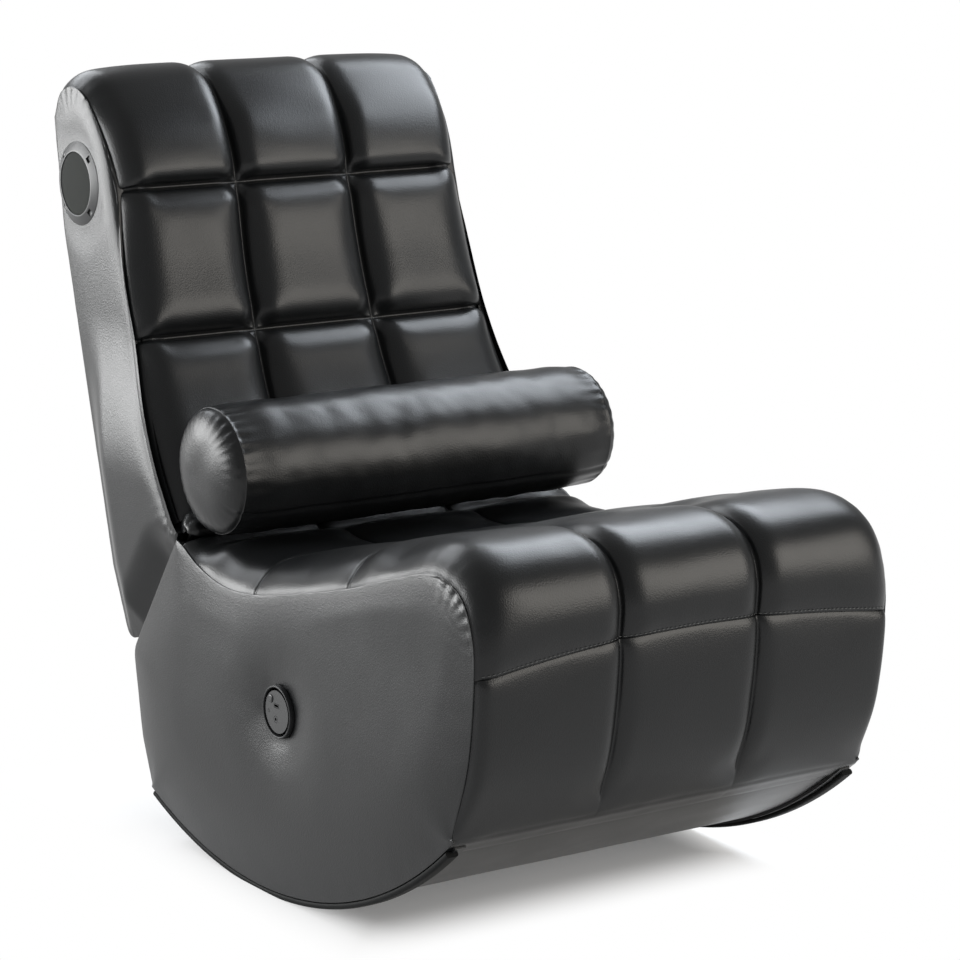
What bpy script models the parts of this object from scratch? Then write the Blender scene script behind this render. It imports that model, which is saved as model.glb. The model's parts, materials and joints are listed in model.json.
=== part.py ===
"""Floor rocker chair: a quilted back folds on butt hinges over a padded base that rocks on two
curved rails. Speakers sit in both sides of the head, a control panel in the left side of the base,
and a loose bolster lies in the crook of the seat.

Metres, +Z up. The sitter faces -Y, so the chair's left-hand piece in the names is the one at -X.
Side profiles are (y, z): y is measured back from the hinge line, z up from the floor.
"""
import math

import bmesh
import bpy
from mathutils import Matrix, Vector

# Overall placing and fits
HINGE_Y = 0.1213
GAP = 0.0004
SIDES = (("left", -1), ("right", 1))

# Base: widths across the chair
BASE_WIDTH = 0.440
SIDE_PAD_T = 0.0075
SIDE_BOARD_T = 0.011
SIDE_PAD_DOME = 0.006

# Base: side profile
REAR_TOP = (-0.002, 0.299)
KNEE = (0.086, 0.176)
KNEE_R = 0.012
REAR_LOW_BULGE = (0.072, 0.094)
FRONT_BELLY = (-0.489, 0.200)
FRONT_SEAM = (-0.498, 0.273)
ROLL_TOP = (-0.437, 0.351)
ROLL_FRONT_FROM_TOP = (-0.057, -0.039)
ROLL_SHOULDER_FROM_TOP = (-0.039, -0.010)
ROLL_BACK_FROM_TOP = (0.062, -0.016)
SEAT_SEAM_FRONT = (-0.302, 0.312)
SEAT_MIDDLE = (-0.215, 0.290)
SEAT_SEAM_REAR = (-0.143, 0.275)
SEAT_DIP = (-0.090, 0.272)
SEAT_RISE = (-0.045, 0.281)
SEAT_END = (-0.012, 0.296)

# Base: padding, boards and rocker
PAD_T = 0.032
SEAT_CROWN = 0.018
SEAM_ARCH = 0.017
SEAM_ARCH_REACH = 0.040
SEAT_PUFF = 0.011
FRONT_PUFF = 0.010
DECK_T = 0.009
FRONT_BOARD_T = 0.022
REAR_BOARD_T = 0.012
REAR_COVER_T = 0.005
ROCKER_Y = -0.142
ROCKER_R = 0.493
ROCKER_FRONT = math.radians(42.0)
ROCKER_REAR = math.radians(24.0)
ROCKER_FLAT = math.radians(5.5)
ROCKER_STEP = math.radians(3.0)
RAIL_H = 0.010
RAIL_LIP = 0.002
RAIL_FLOOR = 0.0034
RAIL_END = math.radians(1.2)
UNDERSIDE_RISE = 0.0065
BOTTOM_PANEL_T = 0.003

# Back: widths and side profile; the head's points are measured from its top
BACK_INSET = 0.021
GUSSET_T = 0.008
BACK_BOARD_SIDE_T = 0.010
BACK_FRONT_LOW = (0.022, 0.306)
BACK_FRONT_HIP = (0.084, 0.404)
BACK_SEAM_LOW = (0.112, 0.467)
BACK_MIDDLE_BOW = (0.002, -0.007)
HEAD_TOP = (0.226, 0.707)
BACK_SEAM_HIGH_FROM_TOP = (-0.074, -0.100)
HEAD_FRONT_FROM_TOP = (-0.058, -0.052)
HEAD_BROW_FROM_TOP = (-0.031, -0.012)
HEAD_REAR_FROM_TOP = (0.029, -0.009)
BACK_REAR_TOP_FROM_TOP = (0.044, -0.035)
BACK_REAR_HIGH_FROM_TOP = (0.024, -0.147)
BACK_REAR_LOW = (0.163, 0.240)
HEEL = (0.132, 0.173)
HEEL_R = 0.014
BACK_PAD_T = 0.024
BACK_CROWN = 0.006
BACK_PUFF = 0.013
BACK_PANEL_T = 0.003
BACK_COVER_T = 0.003
CROSS_RAIL_W = 0.044
CROSS_RAIL_T = 0.015
HEAD_RAIL_DROP = 0.026
HEEL_BOARD_T = 0.012
HEEL_BOARD_FROM = 0.014

# Quilting: even columns, with the sewn lines drawn in
COLUMNS = 3
CELL_STATIONS = (-1.0, -0.78, -0.34, 0.34, 0.78, 1.0)
LONG_CELL_STATIONS = (-1.0, -0.88, -0.7, -0.5, -0.28, 0.0, 0.28, 0.5, 0.7, 0.88, 1.0)
PUFF_POWER = 2.6
CROWN_POWER = 4

# Butt hinges between the sloping rear of the base and the heel of the back
FOLD_GAP = 0.007
LEAF_T = 0.0025
LEAF_LENGTH = 0.050
LEAF_WIDTH = 0.060
KNUCKLES = 5
KNUCKLE_STEPS = 16
KNUCKLE_R = 0.005
KNUCKLE_RISE = 0.006
PIN_R = 0.0023
HINGE_INSET = 0.079
BUMPER_FROM = 0.104
BUMPER_TO = 0.130
BUMPER_WIDTH = 0.032

# Speakers in the sides of the head
SPEAKER_FROM_TOP = (-0.010, -0.098)
SPEAKER_BEZEL_R = 0.041
SPEAKER_GRILLE_R = 0.033
SPEAKER_BEZEL_T = 0.0045
SPEAKER_NECK_R = 0.0345
DRIVER_FLANGE_R = 0.0315
DRIVER_FLANGE_T = 0.002
DRIVER_THROAT_R = 0.0285
DRIVER_DEPTH = 0.026
DRIVER_REAR_R = 0.015
MAGNET_R = 0.019
MAGNET_T = 0.011
CLIP_NOTCHES = 4
CLIP_NOTCH = (0.0045, 0.0030, 0.0014)
BEZEL_LEDGE = 0.0022
BEZEL_CHAMFER = 0.002
GRILLE_CHAMFER = 0.0012
GRILLE_SINK = 0.0006
DRIVER_WALL = 0.0012
DRIVER_REAR_LIP = 0.004
CONE_CAP_R = 0.009
CONE_DEPTH = 0.011
CONE_T = 0.0008

# Control panel in the left side of the base
CONTROL = (-0.192, 0.178)
CONTROL_R = 0.0245
CONTROL_T = 0.005
CONTROL_TUBE_R = 0.0215
CONTROL_TUBE_DEPTH = 0.034
CONTROL_WALL = 0.0015
CONTROL_FACE_T = 0.002
CONTROL_RECESS = 0.001
CONTROL_CHAMFER = 0.0015
DIMPLE_R = 0.100
DIMPLE_FLAT_R = 0.056
BUTTON_AT = (0.0100, 0.0105)
BUTTON_R = 0.0036
BUTTON_TRAVEL = 0.0012
BUTTON_RISE = 0.0012
USB_AT = (0.0005, 0.0055)
USB_SIZE = (0.0034, 0.0085)
USB_WALL = 0.0006
JACK_AT = (0.0020, -0.0072)
JACK_R = 0.0030
LED_AT = (0.0140, -0.0015)
LED_R = 0.0012
CIRCUIT_T = 0.0016
SOCKET_DEPTH = 0.006

# Bolster
BOLSTER_Y = -0.050
BOLSTER_R = 0.062
BOLSTER_INSET = 0.0165
BOLSTER_CAP_BULGE = 0.017
BOLSTER_DRAWN = 0.004
BOLSTER_SIDES = 24

TURN_STEPS = 28
DRIVER_STEPS = 20


class Path:
    """A smooth line through points of the side plane, read by the distance along it.

    Walking along it, the outside of the chair is on the left hand.
    """

    SPAN_STEPS = 12

    def __init__(self, points):
        points = [Vector(point) for point in points]
        ends = [2 * points[0] - points[1], *points, 2 * points[-1] - points[-2]]
        self.points = []
        for a, b, c, d in zip(ends, ends[1:], ends[2:], ends[3:]):
            for step in range(self.SPAN_STEPS):
                self.points.append(self.between(a, b, c, d, step / self.SPAN_STEPS))
        self.points.append(points[-1])
        self.distances = [0.0]
        for a, b in zip(self.points, self.points[1:]):
            self.distances.append(self.distances[-1] + (b - a).length)
        self.length = self.distances[-1]

    @staticmethod
    def between(a, b, c, d, t):
        """A point of the Catmull-Rom span from b to c."""
        bend = (2 * a - 5 * b + 4 * c - d) * t + (3 * b - a - 3 * c + d) * t * t
        return b + 0.5 * t * ((c - a) + bend)

    def at(self, distance):
        distance = min(max(distance, 0.0), self.length)
        for index in range(1, len(self.points)):
            if distance <= self.distances[index]:
                break
        start, end = self.distances[index - 1], self.distances[index]
        return self.points[index - 1].lerp(self.points[index], (distance - start) / (end - start))

    def tangent(self, distance):
        reach = 0.002
        return (self.at(distance + reach) - self.at(distance - reach)).normalized()

    def beside(self, distance, out):
        """The point `out` metres outside the line at that distance."""
        tangent = self.tangent(distance)
        return self.at(distance) + out * Vector((-tangent.y, tangent.x))

    def where(self, point):
        """The distance along the line at which it comes closest to a point."""
        point = Vector(point)
        gaps = [(place - point).length for place in self.points]
        return self.distances[gaps.index(min(gaps))]


def rocker(angle, rise=0.0):
    """A point of the rocker's arc, `rise` inside it; the angle runs forward from straight down."""
    radius = ROCKER_R - rise
    middle = ROCKER_R * math.cos(ROCKER_FLAT)
    return Vector((ROCKER_Y - radius * math.sin(angle), middle - radius * math.cos(angle)))


def rocker_angles(margin=0.0):
    """Even angles along the rocker, from `margin` inside its rear end to as much inside its front."""
    start, end = -ROCKER_REAR + margin, ROCKER_FRONT - margin
    steps = math.ceil((end - start) / ROCKER_STEP)
    return [start + (end - start) * step / steps for step in range(steps + 1)]


def corner_arc(before, corner, after, radius, steps=5):
    """Points of a round corner of that radius between two straight runs."""
    before, corner, after = Vector(before), Vector(corner), Vector(after)
    inward = (before - corner).normalized()
    outward = (after - corner).normalized()
    half = inward.angle(outward) / 2
    middle = corner + (inward + outward).normalized() * radius / math.sin(half)
    reach = radius / math.tan(half)
    start = corner + inward * reach - middle
    turn = start.angle_signed(corner + outward * reach - middle)
    points = []
    for step in range(steps + 1):
        angle = -turn * step / steps
        points.append(middle + Matrix.Rotation(angle, 2) @ start)
    return points


def offset_line(points, out):
    """A polyline moved sideways to its left by `out`, mitred at its corners."""
    shifted = []
    for index, point in enumerate(points):
        ahead = points[min(index + 1, len(points) - 1)] - points[max(index, 0)]
        behind = points[index] - points[max(index - 1, 0)]
        ahead = ahead.normalized() if ahead.length else behind.normalized()
        behind = behind.normalized() if behind.length else ahead
        normals = [Vector((-run.y, run.x)) for run in (behind, ahead)]
        middle = (normals[0] + normals[1]).normalized()
        shifted.append(point + middle * out / max(middle.dot(normals[0]), 0.5))
    return shifted


def spaced(start, end, stations):
    """Distances from start to end at stations given from -1 to 1."""
    return [start + (end - start) * (station + 1) / 2 for station in stations]


def chained(*runs):
    """Runs of distances joined end to start, each shared end kept once."""
    joined = list(runs[0])
    for run in runs[1:]:
        joined += run[1:]
    return joined


# Lines and widths that several pieces share
BASE_HALF = BASE_WIDTH / 2
BASE_INNER = BASE_HALF - SIDE_PAD_T
BOARD_INNER = BASE_INNER - SIDE_BOARD_T
BACK_HALF = BASE_HALF - BACK_INSET
BACK_INNER = BACK_HALF - GUSSET_T
STILE_INNER = BACK_INNER - BACK_BOARD_SIDE_T
HINGE_X = BACK_HALF - HINGE_INSET
BOLSTER_SEAM_X = BASE_HALF - BOLSTER_INSET


def moved(point, step):
    """A point of the side plane, carried on by a step."""
    return Vector(point) + Vector(step)


ROLL_FRONT = moved(ROLL_TOP, ROLL_FRONT_FROM_TOP)
ROLL_SHOULDER = moved(ROLL_TOP, ROLL_SHOULDER_FROM_TOP)
ROLL_BACK = moved(ROLL_TOP, ROLL_BACK_FROM_TOP)
BACK_SEAM_HIGH = moved(HEAD_TOP, BACK_SEAM_HIGH_FROM_TOP)
BACK_MIDDLE = moved(Vector(BACK_SEAM_LOW).lerp(BACK_SEAM_HIGH, 0.5), BACK_MIDDLE_BOW)
HEAD_FRONT = moved(HEAD_TOP, HEAD_FRONT_FROM_TOP)
HEAD_BROW = moved(HEAD_TOP, HEAD_BROW_FROM_TOP)
HEAD_REAR = moved(HEAD_TOP, HEAD_REAR_FROM_TOP)
BACK_REAR_TOP = moved(HEAD_TOP, BACK_REAR_TOP_FROM_TOP)
BACK_REAR_HIGH = moved(HEAD_TOP, BACK_REAR_HIGH_FROM_TOP)
SPEAKER = moved(HEAD_TOP, SPEAKER_FROM_TOP)

BASE_PATH = Path([
    rocker(ROCKER_FRONT, RAIL_H + GAP), FRONT_BELLY, FRONT_SEAM, ROLL_FRONT, ROLL_SHOULDER, ROLL_TOP,
    ROLL_BACK, SEAT_SEAM_FRONT, SEAT_MIDDLE, SEAT_SEAM_REAR, SEAT_DIP, SEAT_RISE, SEAT_END,
])
BACK_PATH = Path([
    BACK_FRONT_LOW, BACK_FRONT_HIP, BACK_SEAM_LOW, BACK_MIDDLE, BACK_SEAM_HIGH, HEAD_FRONT, HEAD_BROW,
    HEAD_TOP, HEAD_REAR, BACK_REAR_TOP,
])

FRONT_ROWS = spaced(0.0, BASE_PATH.where(FRONT_SEAM), (-1.0, -0.86, -0.5, 0.0, 0.5, 0.86, 1.0))
SEAT_BREAKS = [
    BASE_PATH.where(FRONT_SEAM) + 2 * GAP, BASE_PATH.where(SEAT_SEAM_FRONT), BASE_PATH.where(SEAT_SEAM_REAR),
    BASE_PATH.length,
]
SEAT_ROWS = chained(
    spaced(SEAT_BREAKS[0], SEAT_BREAKS[1], LONG_CELL_STATIONS),
    spaced(SEAT_BREAKS[1], SEAT_BREAKS[2], CELL_STATIONS),
    spaced(SEAT_BREAKS[2], SEAT_BREAKS[3], CELL_STATIONS),
)
BACK_BREAKS = [0.0, BACK_PATH.where(BACK_SEAM_LOW), BACK_PATH.where(BACK_SEAM_HIGH), BACK_PATH.length]
BACK_ROWS = chained(
    spaced(BACK_BREAKS[0], BACK_BREAKS[1], CELL_STATIONS),
    spaced(BACK_BREAKS[1], BACK_BREAKS[2], CELL_STATIONS),
    spaced(BACK_BREAKS[2], BACK_BREAKS[3], LONG_CELL_STATIONS),
)

# The sloping rear of the base, and the heel of the back that lies along it
SLOPE = (Vector(KNEE) - Vector(REAR_TOP)).normalized()
SLOPE_OUT = Vector((-SLOPE.y, SLOPE.x))


def on_slope(down, out):
    """A point by its distance down the sloping rear of the base and out from it."""
    return Vector(REAR_TOP) + down * SLOPE + out * SLOPE_OUT


PIVOT = on_slope(-KNUCKLE_RISE, FOLD_GAP / 2)
REAR_LINE = [
    Vector(REAR_TOP),
    *corner_arc(REAR_TOP, KNEE, REAR_LOW_BULGE, KNEE_R),
    Vector(REAR_LOW_BULGE),
    rocker(-ROCKER_REAR, RAIL_H + GAP),
]
HEEL_FRONT = on_slope(BUMPER_TO + HEEL_R, FOLD_GAP)
HEEL_TOP = on_slope(GAP, FOLD_GAP)
HEEL_LINE = [
    Vector(BACK_REAR_TOP), Vector(BACK_REAR_HIGH), Vector(BACK_REAR_LOW),
    *corner_arc(BACK_REAR_LOW, HEEL, HEEL_FRONT, HEEL_R),
    *corner_arc(HEEL, HEEL_FRONT, HEEL_TOP, HEEL_R),
    HEEL_TOP,
]


# Objects, materials and modelling helpers

SIDE_PLANE = Matrix(((0, 0, 1, 0), (1, 0, 0, 0), (0, 1, 0, 0), (0, 0, 0, 1)))


def clear_scene():
    for obj in list(bpy.data.objects):
        bpy.data.objects.remove(obj, do_unlink=True)


def new_collection(name):
    collection = bpy.data.collections.new(name)
    bpy.context.scene.collection.children.link(collection)
    return collection


def new_material(name, color, roughness, metallic=0.0):
    material = bpy.data.materials.new(name)
    material.use_nodes = True
    shader = material.node_tree.nodes["Principled BSDF"]
    shader.inputs["Base Color"].default_value = (*color, 1.0)
    shader.inputs["Roughness"].default_value = roughness
    shader.inputs["Metallic"].default_value = metallic
    return material


class Workshop:
    """Where finished pieces and cutters go, and the finishes they take."""

    def __init__(self):
        self.parts = new_collection("floor_rocker_chair")
        self.cutters = new_collection("cutters")
        self.looks = {
            "leather": new_material("black_leatherette", (0.012, 0.012, 0.013), 0.38),
            "wood": new_material("plywood", (0.45, 0.30, 0.17), 0.7),
            "board": new_material("hardboard", (0.16, 0.10, 0.06), 0.8),
            "lining": new_material("black_lining", (0.01, 0.01, 0.01), 0.9),
            "plastic": new_material("black_plastic", (0.015, 0.015, 0.016), 0.35),
            "grille": new_material("grille_cloth", (0.03, 0.03, 0.032), 0.8),
            "paper": new_material("cone_paper", (0.02, 0.02, 0.02), 0.9),
            "steel": new_material("zinc_steel", (0.55, 0.56, 0.57), 0.35, 1.0),
            "magnet": new_material("ferrite", (0.05, 0.05, 0.055), 0.6, 0.3),
            "rubber": new_material("black_rubber", (0.012, 0.012, 0.012), 0.8),
            "circuit": new_material("circuit_green", (0.01, 0.10, 0.04), 0.5),
            "led": new_material("led_lens", (0.25, 0.3, 0.32), 0.15),
        }

    def anchor(self, name, place):
        """An empty on a joint's axis, which carries the pieces of one body."""
        empty = bpy.data.objects.new(name, None)
        empty.empty_display_size = 0.05
        empty.location = place
        self.parts.objects.link(empty)
        bpy.context.view_layer.update()
        return empty

    def piece(self, name, mesh, look, body, place=None):
        """A finished piece of one body; its finish is a copy named for the piece."""
        obj = bpy.data.objects.new(name, mesh)
        finish = self.looks[look].copy()
        finish.name = name + "_finish"
        obj.data.materials.clear()
        obj.data.materials.append(finish)
        self.parts.objects.link(obj)
        obj.matrix_world = Matrix.Translation((0.0, HINGE_Y, 0.0)) if place is None else place
        obj.parent = body
        obj.matrix_parent_inverse = body.matrix_world.inverted()
        bpy.context.view_layer.update()
        return obj

    def cutter(self, name, mesh, place):
        obj = bpy.data.objects.new(name, mesh)
        obj.hide_render = True
        obj.display_type = "WIRE"
        self.cutters.objects.link(obj)
        obj.matrix_world = place
        return obj


def boolean(obj, other, operation="DIFFERENCE"):
    step = obj.modifiers.new(operation.lower() + "_" + other.name, "BOOLEAN")
    step.operation = operation
    step.object = other
    step.solver = "EXACT"


def smooth_shaded(mesh, angle=35.0):
    mesh.shade_smooth()
    mesh.set_sharp_from_angle(angle=math.radians(angle))


def face_outward(work):
    """Turns a closed body's faces out."""
    bmesh.ops.recalc_face_normals(work, faces=work.faces)
    if work.calc_volume(signed=True) < 0:
        bmesh.ops.reverse_faces(work, faces=work.faces)


def slab_mesh(name, outline, thickness):
    """A flat outline of the side plane, extruded evenly to both sides of it."""
    curve = bpy.data.curves.new(name + "_outline", "CURVE")
    curve.dimensions = "2D"
    curve.fill_mode = "BOTH"
    curve.extrude = thickness / 2
    spline = curve.splines.new("POLY")
    spline.points.add(len(outline) - 1)
    spline.use_cyclic_u = True
    for point, (along, up) in zip(spline.points, outline):
        point.co = (along, up, 0.0, 1.0)
    draft = bpy.data.objects.new(name + "_draft", curve)
    bpy.context.scene.collection.objects.link(draft)
    bpy.context.view_layer.update()
    mesh = bpy.data.meshes.new_from_object(draft.evaluated_get(bpy.context.evaluated_depsgraph_get()))
    bpy.data.objects.remove(draft, do_unlink=True)
    work = bmesh.new()
    work.from_mesh(mesh)
    bmesh.ops.remove_doubles(work, verts=work.verts, dist=0.00001)
    face_outward(work)
    work.to_mesh(mesh)
    work.free()
    mesh.name = name
    return mesh


def side_place(x):
    """Puts a flat outline into the side plane at x."""
    return Matrix.Translation((x, HINGE_Y, 0.0)) @ SIDE_PLANE


def slab(shop, name, outline, x_from, x_to, look, body):
    mesh = slab_mesh(name, outline, abs(x_to - x_from))
    return shop.piece(name, mesh, look, body, side_place((x_from + x_to) / 2))


def sheet_mesh(name, across, along, outer, inner):
    """A closed pad from a grid: one face follows outer(i, j) and the other inner(i, j)."""
    work = bmesh.new()
    columns, rows = len(across) - 1, len(along) - 1
    bmesh.ops.create_grid(work, x_segments=columns, y_segments=rows, size=0.5)
    raised = bmesh.ops.extrude_face_region(work, geom=work.faces[:])["geom"]
    tops = {item for item in raised if isinstance(item, bmesh.types.BMVert)}
    for vert in work.verts:
        i = round((vert.co.x + 0.5) * columns)
        j = round((vert.co.y + 0.5) * rows)
        vert.co = (outer if vert in tops else inner)(across[i], along[j])
    face_outward(work)
    mesh = bpy.data.meshes.new(name)
    work.to_mesh(mesh)
    work.free()
    return mesh


def turned_mesh(name, profile, steps=TURN_STEPS, closed=True):
    """A profile of (radius, height) points turned about Z; a closed one makes a ring."""
    mesh = bpy.data.meshes.new(name)
    edges = [(index, index + 1) for index in range(len(profile) - 1)]
    if closed:
        edges.append((len(profile) - 1, 0))
    mesh.from_pydata([(radius, 0.0, height) for radius, height in profile], edges, [])
    draft = bpy.data.objects.new(name + "_draft", mesh)
    bpy.context.scene.collection.objects.link(draft)
    screw = draft.modifiers.new("turn", "SCREW")
    screw.steps = steps
    screw.render_steps = steps
    screw.use_merge_vertices = True
    screw.merge_threshold = 0.00001
    bpy.context.view_layer.update()
    solid = bpy.data.meshes.new_from_object(draft.evaluated_get(bpy.context.evaluated_depsgraph_get()))
    bpy.data.objects.remove(draft, do_unlink=True)
    work = bmesh.new()
    work.from_mesh(solid)
    face_outward(work)
    work.to_mesh(solid)
    work.free()
    solid.name = name
    smooth_shaded(solid)
    return solid


def facing(x, point, sign):
    """A frame at a point of the side plane whose Z looks outward to that side."""
    turn = Matrix.Rotation(math.radians(90.0 * sign), 4, "Y")
    return Matrix.Translation((x, HINGE_Y + point[0], point[1])) @ turn


def box_mesh(name, size):
    work = bmesh.new()
    bmesh.ops.create_cube(work, size=1.0, matrix=Matrix.Diagonal((*size, 1.0)))
    mesh = bpy.data.meshes.new(name)
    work.to_mesh(mesh)
    work.free()
    return mesh


def rod_mesh(name, radius, length, sides=TURN_STEPS):
    work = bmesh.new()
    bmesh.ops.create_cone(
        work, cap_ends=True, segments=sides, radius1=radius, radius2=radius, depth=length)
    mesh = bpy.data.meshes.new(name)
    work.to_mesh(mesh)
    work.free()
    smooth_shaded(mesh)
    return mesh


# Quilted pads

def column_stations(half_width):
    """Positions across the chair, closer together beside the sewn lines."""
    width = 2 * half_width / COLUMNS
    runs = []
    for column in range(COLUMNS):
        start = -half_width + column * width
        runs.append(spaced(start, start + width, CELL_STATIONS))
    return chained(*runs)


def cell_swell(value, breaks):
    """0 on a sewn line and 1 in the middle of its cell."""
    for start, end in zip(breaks, breaks[1:]):
        if start <= value <= end:
            place = (2 * value - start - end) / (end - start)
            return 1.0 - abs(place) ** PUFF_POWER
    return 0.0


def front_seam_rise(x, distance):
    """How far the sewn line across the front, and what lies beside it, arches up at x."""
    near = 1.0 - abs(distance - BASE_PATH.where(FRONT_SEAM)) / SEAM_ARCH_REACH
    return SEAM_ARCH * max(near, 0.0) * (1.0 - (x / BASE_INNER) ** 2)


def no_rise(x, distance):
    return 0.0


def quilted_mesh(name, path, rows, breaks, half_width, thickness, crown, puff, slide=no_rise):
    """A pad along a line, puffed out between its sewn lines; slide moves its rows along the line."""
    column_breaks = [half_width * (2 * column / COLUMNS - 1) for column in range(COLUMNS + 1)]

    def outer(x, distance):
        swell = puff * cell_swell(x, column_breaks) * cell_swell(distance, breaks)
        rise = crown * (1.0 - (x / half_width) ** CROWN_POWER)
        y, z = path.beside(distance + slide(x, distance), swell + rise)
        return (x, y, z)

    def inner(x, distance):
        y, z = path.beside(distance + slide(x, distance), -thickness)
        return (x, y, z)

    mesh = sheet_mesh(name, column_stations(half_width), rows, outer, inner)
    smooth_shaded(mesh, 60.0)
    return mesh


# Base

def make_base_boards(shop, body):
    """Plywood: two sides, the front, the sloping rear, the rear apron and the seat deck."""
    top = [BASE_PATH.beside(row, -PAD_T - GAP) for row in chained(FRONT_ROWS, SEAT_ROWS)]
    rear = offset_line(REAR_LINE, -REAR_COVER_T - GAP)
    rear = [point for point in rear if point.y < top[-1].y - REAR_BOARD_T]
    angles = rocker_angles(RAIL_END + GAP / ROCKER_R)
    in_rail = [rocker(angle, RAIL_FLOOR + GAP) for angle in angles]
    outline = [*top, *rear, rocker(angles[0], RAIL_H + GAP), *in_rail, rocker(angles[-1], RAIL_H + GAP)]
    for side, sign in SIDES:
        board = slab(shop, "base_side_" + side, outline, sign * BOARD_INNER, sign * BASE_INNER, "wood", body)
        if side == "left":
            hole = rod_mesh("control_hole", CONTROL_TUBE_R + 2 * GAP, 4 * SIDE_BOARD_T)
            place = facing(-BASE_INNER, CONTROL, -1)
            boolean(board, shop.cutter("control_hole_in_board", hole, place))
    between = BOARD_INNER - GAP

    front_rows = [row for row in chained(FRONT_ROWS, SEAT_ROWS) if row < BASE_PATH.where(ROLL_FRONT)]
    face = [BASE_PATH.beside(row, -PAD_T - GAP) for row in front_rows]
    rear_face = [BASE_PATH.beside(row, -PAD_T - GAP - FRONT_BOARD_T) for row in front_rows]
    slab(shop, "front_board", face + rear_face[::-1], -between, between, "wood", body)

    deck_rows = [row for row in SEAT_ROWS if row > BASE_PATH.where(ROLL_BACK)]
    face = [BASE_PATH.beside(row, -PAD_T - GAP) for row in deck_rows]
    under = [BASE_PATH.beside(row, -PAD_T - GAP - DECK_T) for row in deck_rows]
    slab(shop, "seat_deck", face + under[::-1], -between, between, "wood", body)

    slope_face = offset_line(REAR_LINE[:2], -REAR_COVER_T - GAP)
    start = under[-1].y - REAR_BOARD_T
    reach = (slope_face[0].y - start) / -SLOPE.y
    slope_top = slope_face[0] + reach * SLOPE
    slope_low = slope_face[1]
    inside = -REAR_BOARD_T * SLOPE_OUT
    outline = [slope_top, slope_low, slope_low + inside, slope_top + inside]
    slab(shop, "rear_slope_board", outline, -between, between, "wood", body)

    apron = offset_line(REAR_LINE[-2:], -REAR_COVER_T - GAP)
    run = (apron[1] - apron[0]).normalized()
    apron[1] = apron[1] - run * RAIL_H
    inside = -REAR_BOARD_T * Vector((-run.y, run.x))
    outline = [apron[0], apron[1], apron[1] + inside, apron[0] + inside]
    slab(shop, "rear_apron_board", outline, -between, between, "wood", body)


def make_base_pads(shop, body):
    """The quilted seat with its front roll, the front panel, the side pads and the covers."""
    half = BASE_INNER
    seat = quilted_mesh(
        "seat_cushion", BASE_PATH, SEAT_ROWS, SEAT_BREAKS, half, PAD_T, SEAT_CROWN, SEAT_PUFF,
        front_seam_rise)
    shop.piece("seat_cushion", seat, "leather", body)
    front_breaks = [FRONT_ROWS[0], FRONT_ROWS[-1]]
    front = quilted_mesh(
        "front_pad", BASE_PATH, FRONT_ROWS, front_breaks, half, PAD_T, 0.0, FRONT_PUFF, front_seam_rise)
    shop.piece("front_pad", front, "leather", body)

    for side, sign in SIDES:
        pad = shop.piece("side_pad_" + side, side_pad_mesh("side_pad_" + side, sign), "leather", body)
        if side == "left":
            hole = rod_mesh("control_hole", CONTROL_TUBE_R + 2 * GAP, 6 * SIDE_PAD_T)
            boolean(pad, shop.cutter("control_hole_in_pad", hole, facing(-BASE_HALF, CONTROL, -1)))

    inside = offset_line(REAR_LINE, -REAR_COVER_T)
    slab(shop, "rear_cover", REAR_LINE + inside[::-1], -BASE_INNER, BASE_INNER, "leather", body)

    half = BOARD_INNER - RAIL_LIP - 2 * GAP
    angles = rocker_angles()
    under = [rocker(angle, UNDERSIDE_RISE) for angle in angles]
    over = [rocker(angle, UNDERSIDE_RISE + BOTTOM_PANEL_T) for angle in angles]
    slab(shop, "bottom_panel", under + over[::-1], -half, half, "lining", body)


def side_pad_mesh(name, sign):
    """A domed pad whose edges follow the rail, the front, the seat and the rear."""
    across = [step / 18 for step in range(19)]
    along = [step / 11 for step in range(12)]
    roll = BASE_PATH.where(ROLL_TOP)
    rear_path = Path(REAR_LINE[::-1])

    def low(u):
        return rocker(-ROCKER_REAR + (ROCKER_FRONT + ROCKER_REAR) * u, RAIL_H + GAP)

    def high(u):
        return BASE_PATH.at(BASE_PATH.length + (roll - BASE_PATH.length) * u)

    def rear(v):
        return rear_path.at(rear_path.length * v)

    def front(v):
        return BASE_PATH.at(roll * v)

    def flat(u, v):
        ruled = low(u).lerp(high(u), v) + rear(v).lerp(front(v), u)
        return ruled - rear(0.0).lerp(front(0.0), u).lerp(rear(1.0).lerp(front(1.0), u), v)

    def outer(u, v):
        place = flat(u, v)
        dome = SIDE_PAD_DOME * (1 - (2 * u - 1) ** 4) * (1 - (2 * v - 1) ** 4)
        if sign < 0:
            reach = (place - Vector(CONTROL)).length - DIMPLE_FLAT_R
            clear = min(max(reach / (DIMPLE_R - DIMPLE_FLAT_R), 0.0), 1.0)
            dome *= clear * clear * (3 - 2 * clear)
        return (sign * (BASE_HALF + dome), place.x, place.y)

    def inner(u, v):
        place = flat(u, v)
        return (sign * (BASE_INNER + GAP), place.x, place.y)

    mesh = sheet_mesh(name, across, along, outer, inner)
    smooth_shaded(mesh, 60.0)
    return mesh


def rail_angles():
    """Facet corners of the rocker, with one flat facet on the floor."""
    front = []
    angle = ROCKER_FLAT
    while angle < ROCKER_FRONT - ROCKER_STEP / 2:
        front.append(angle)
        angle += ROCKER_STEP
    rear = []
    angle = -ROCKER_FLAT
    while angle > -ROCKER_REAR + ROCKER_STEP / 2:
        rear.append(angle)
        angle -= ROCKER_STEP
    return [-ROCKER_REAR, *rear[::-1], *front, ROCKER_FRONT]


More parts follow.
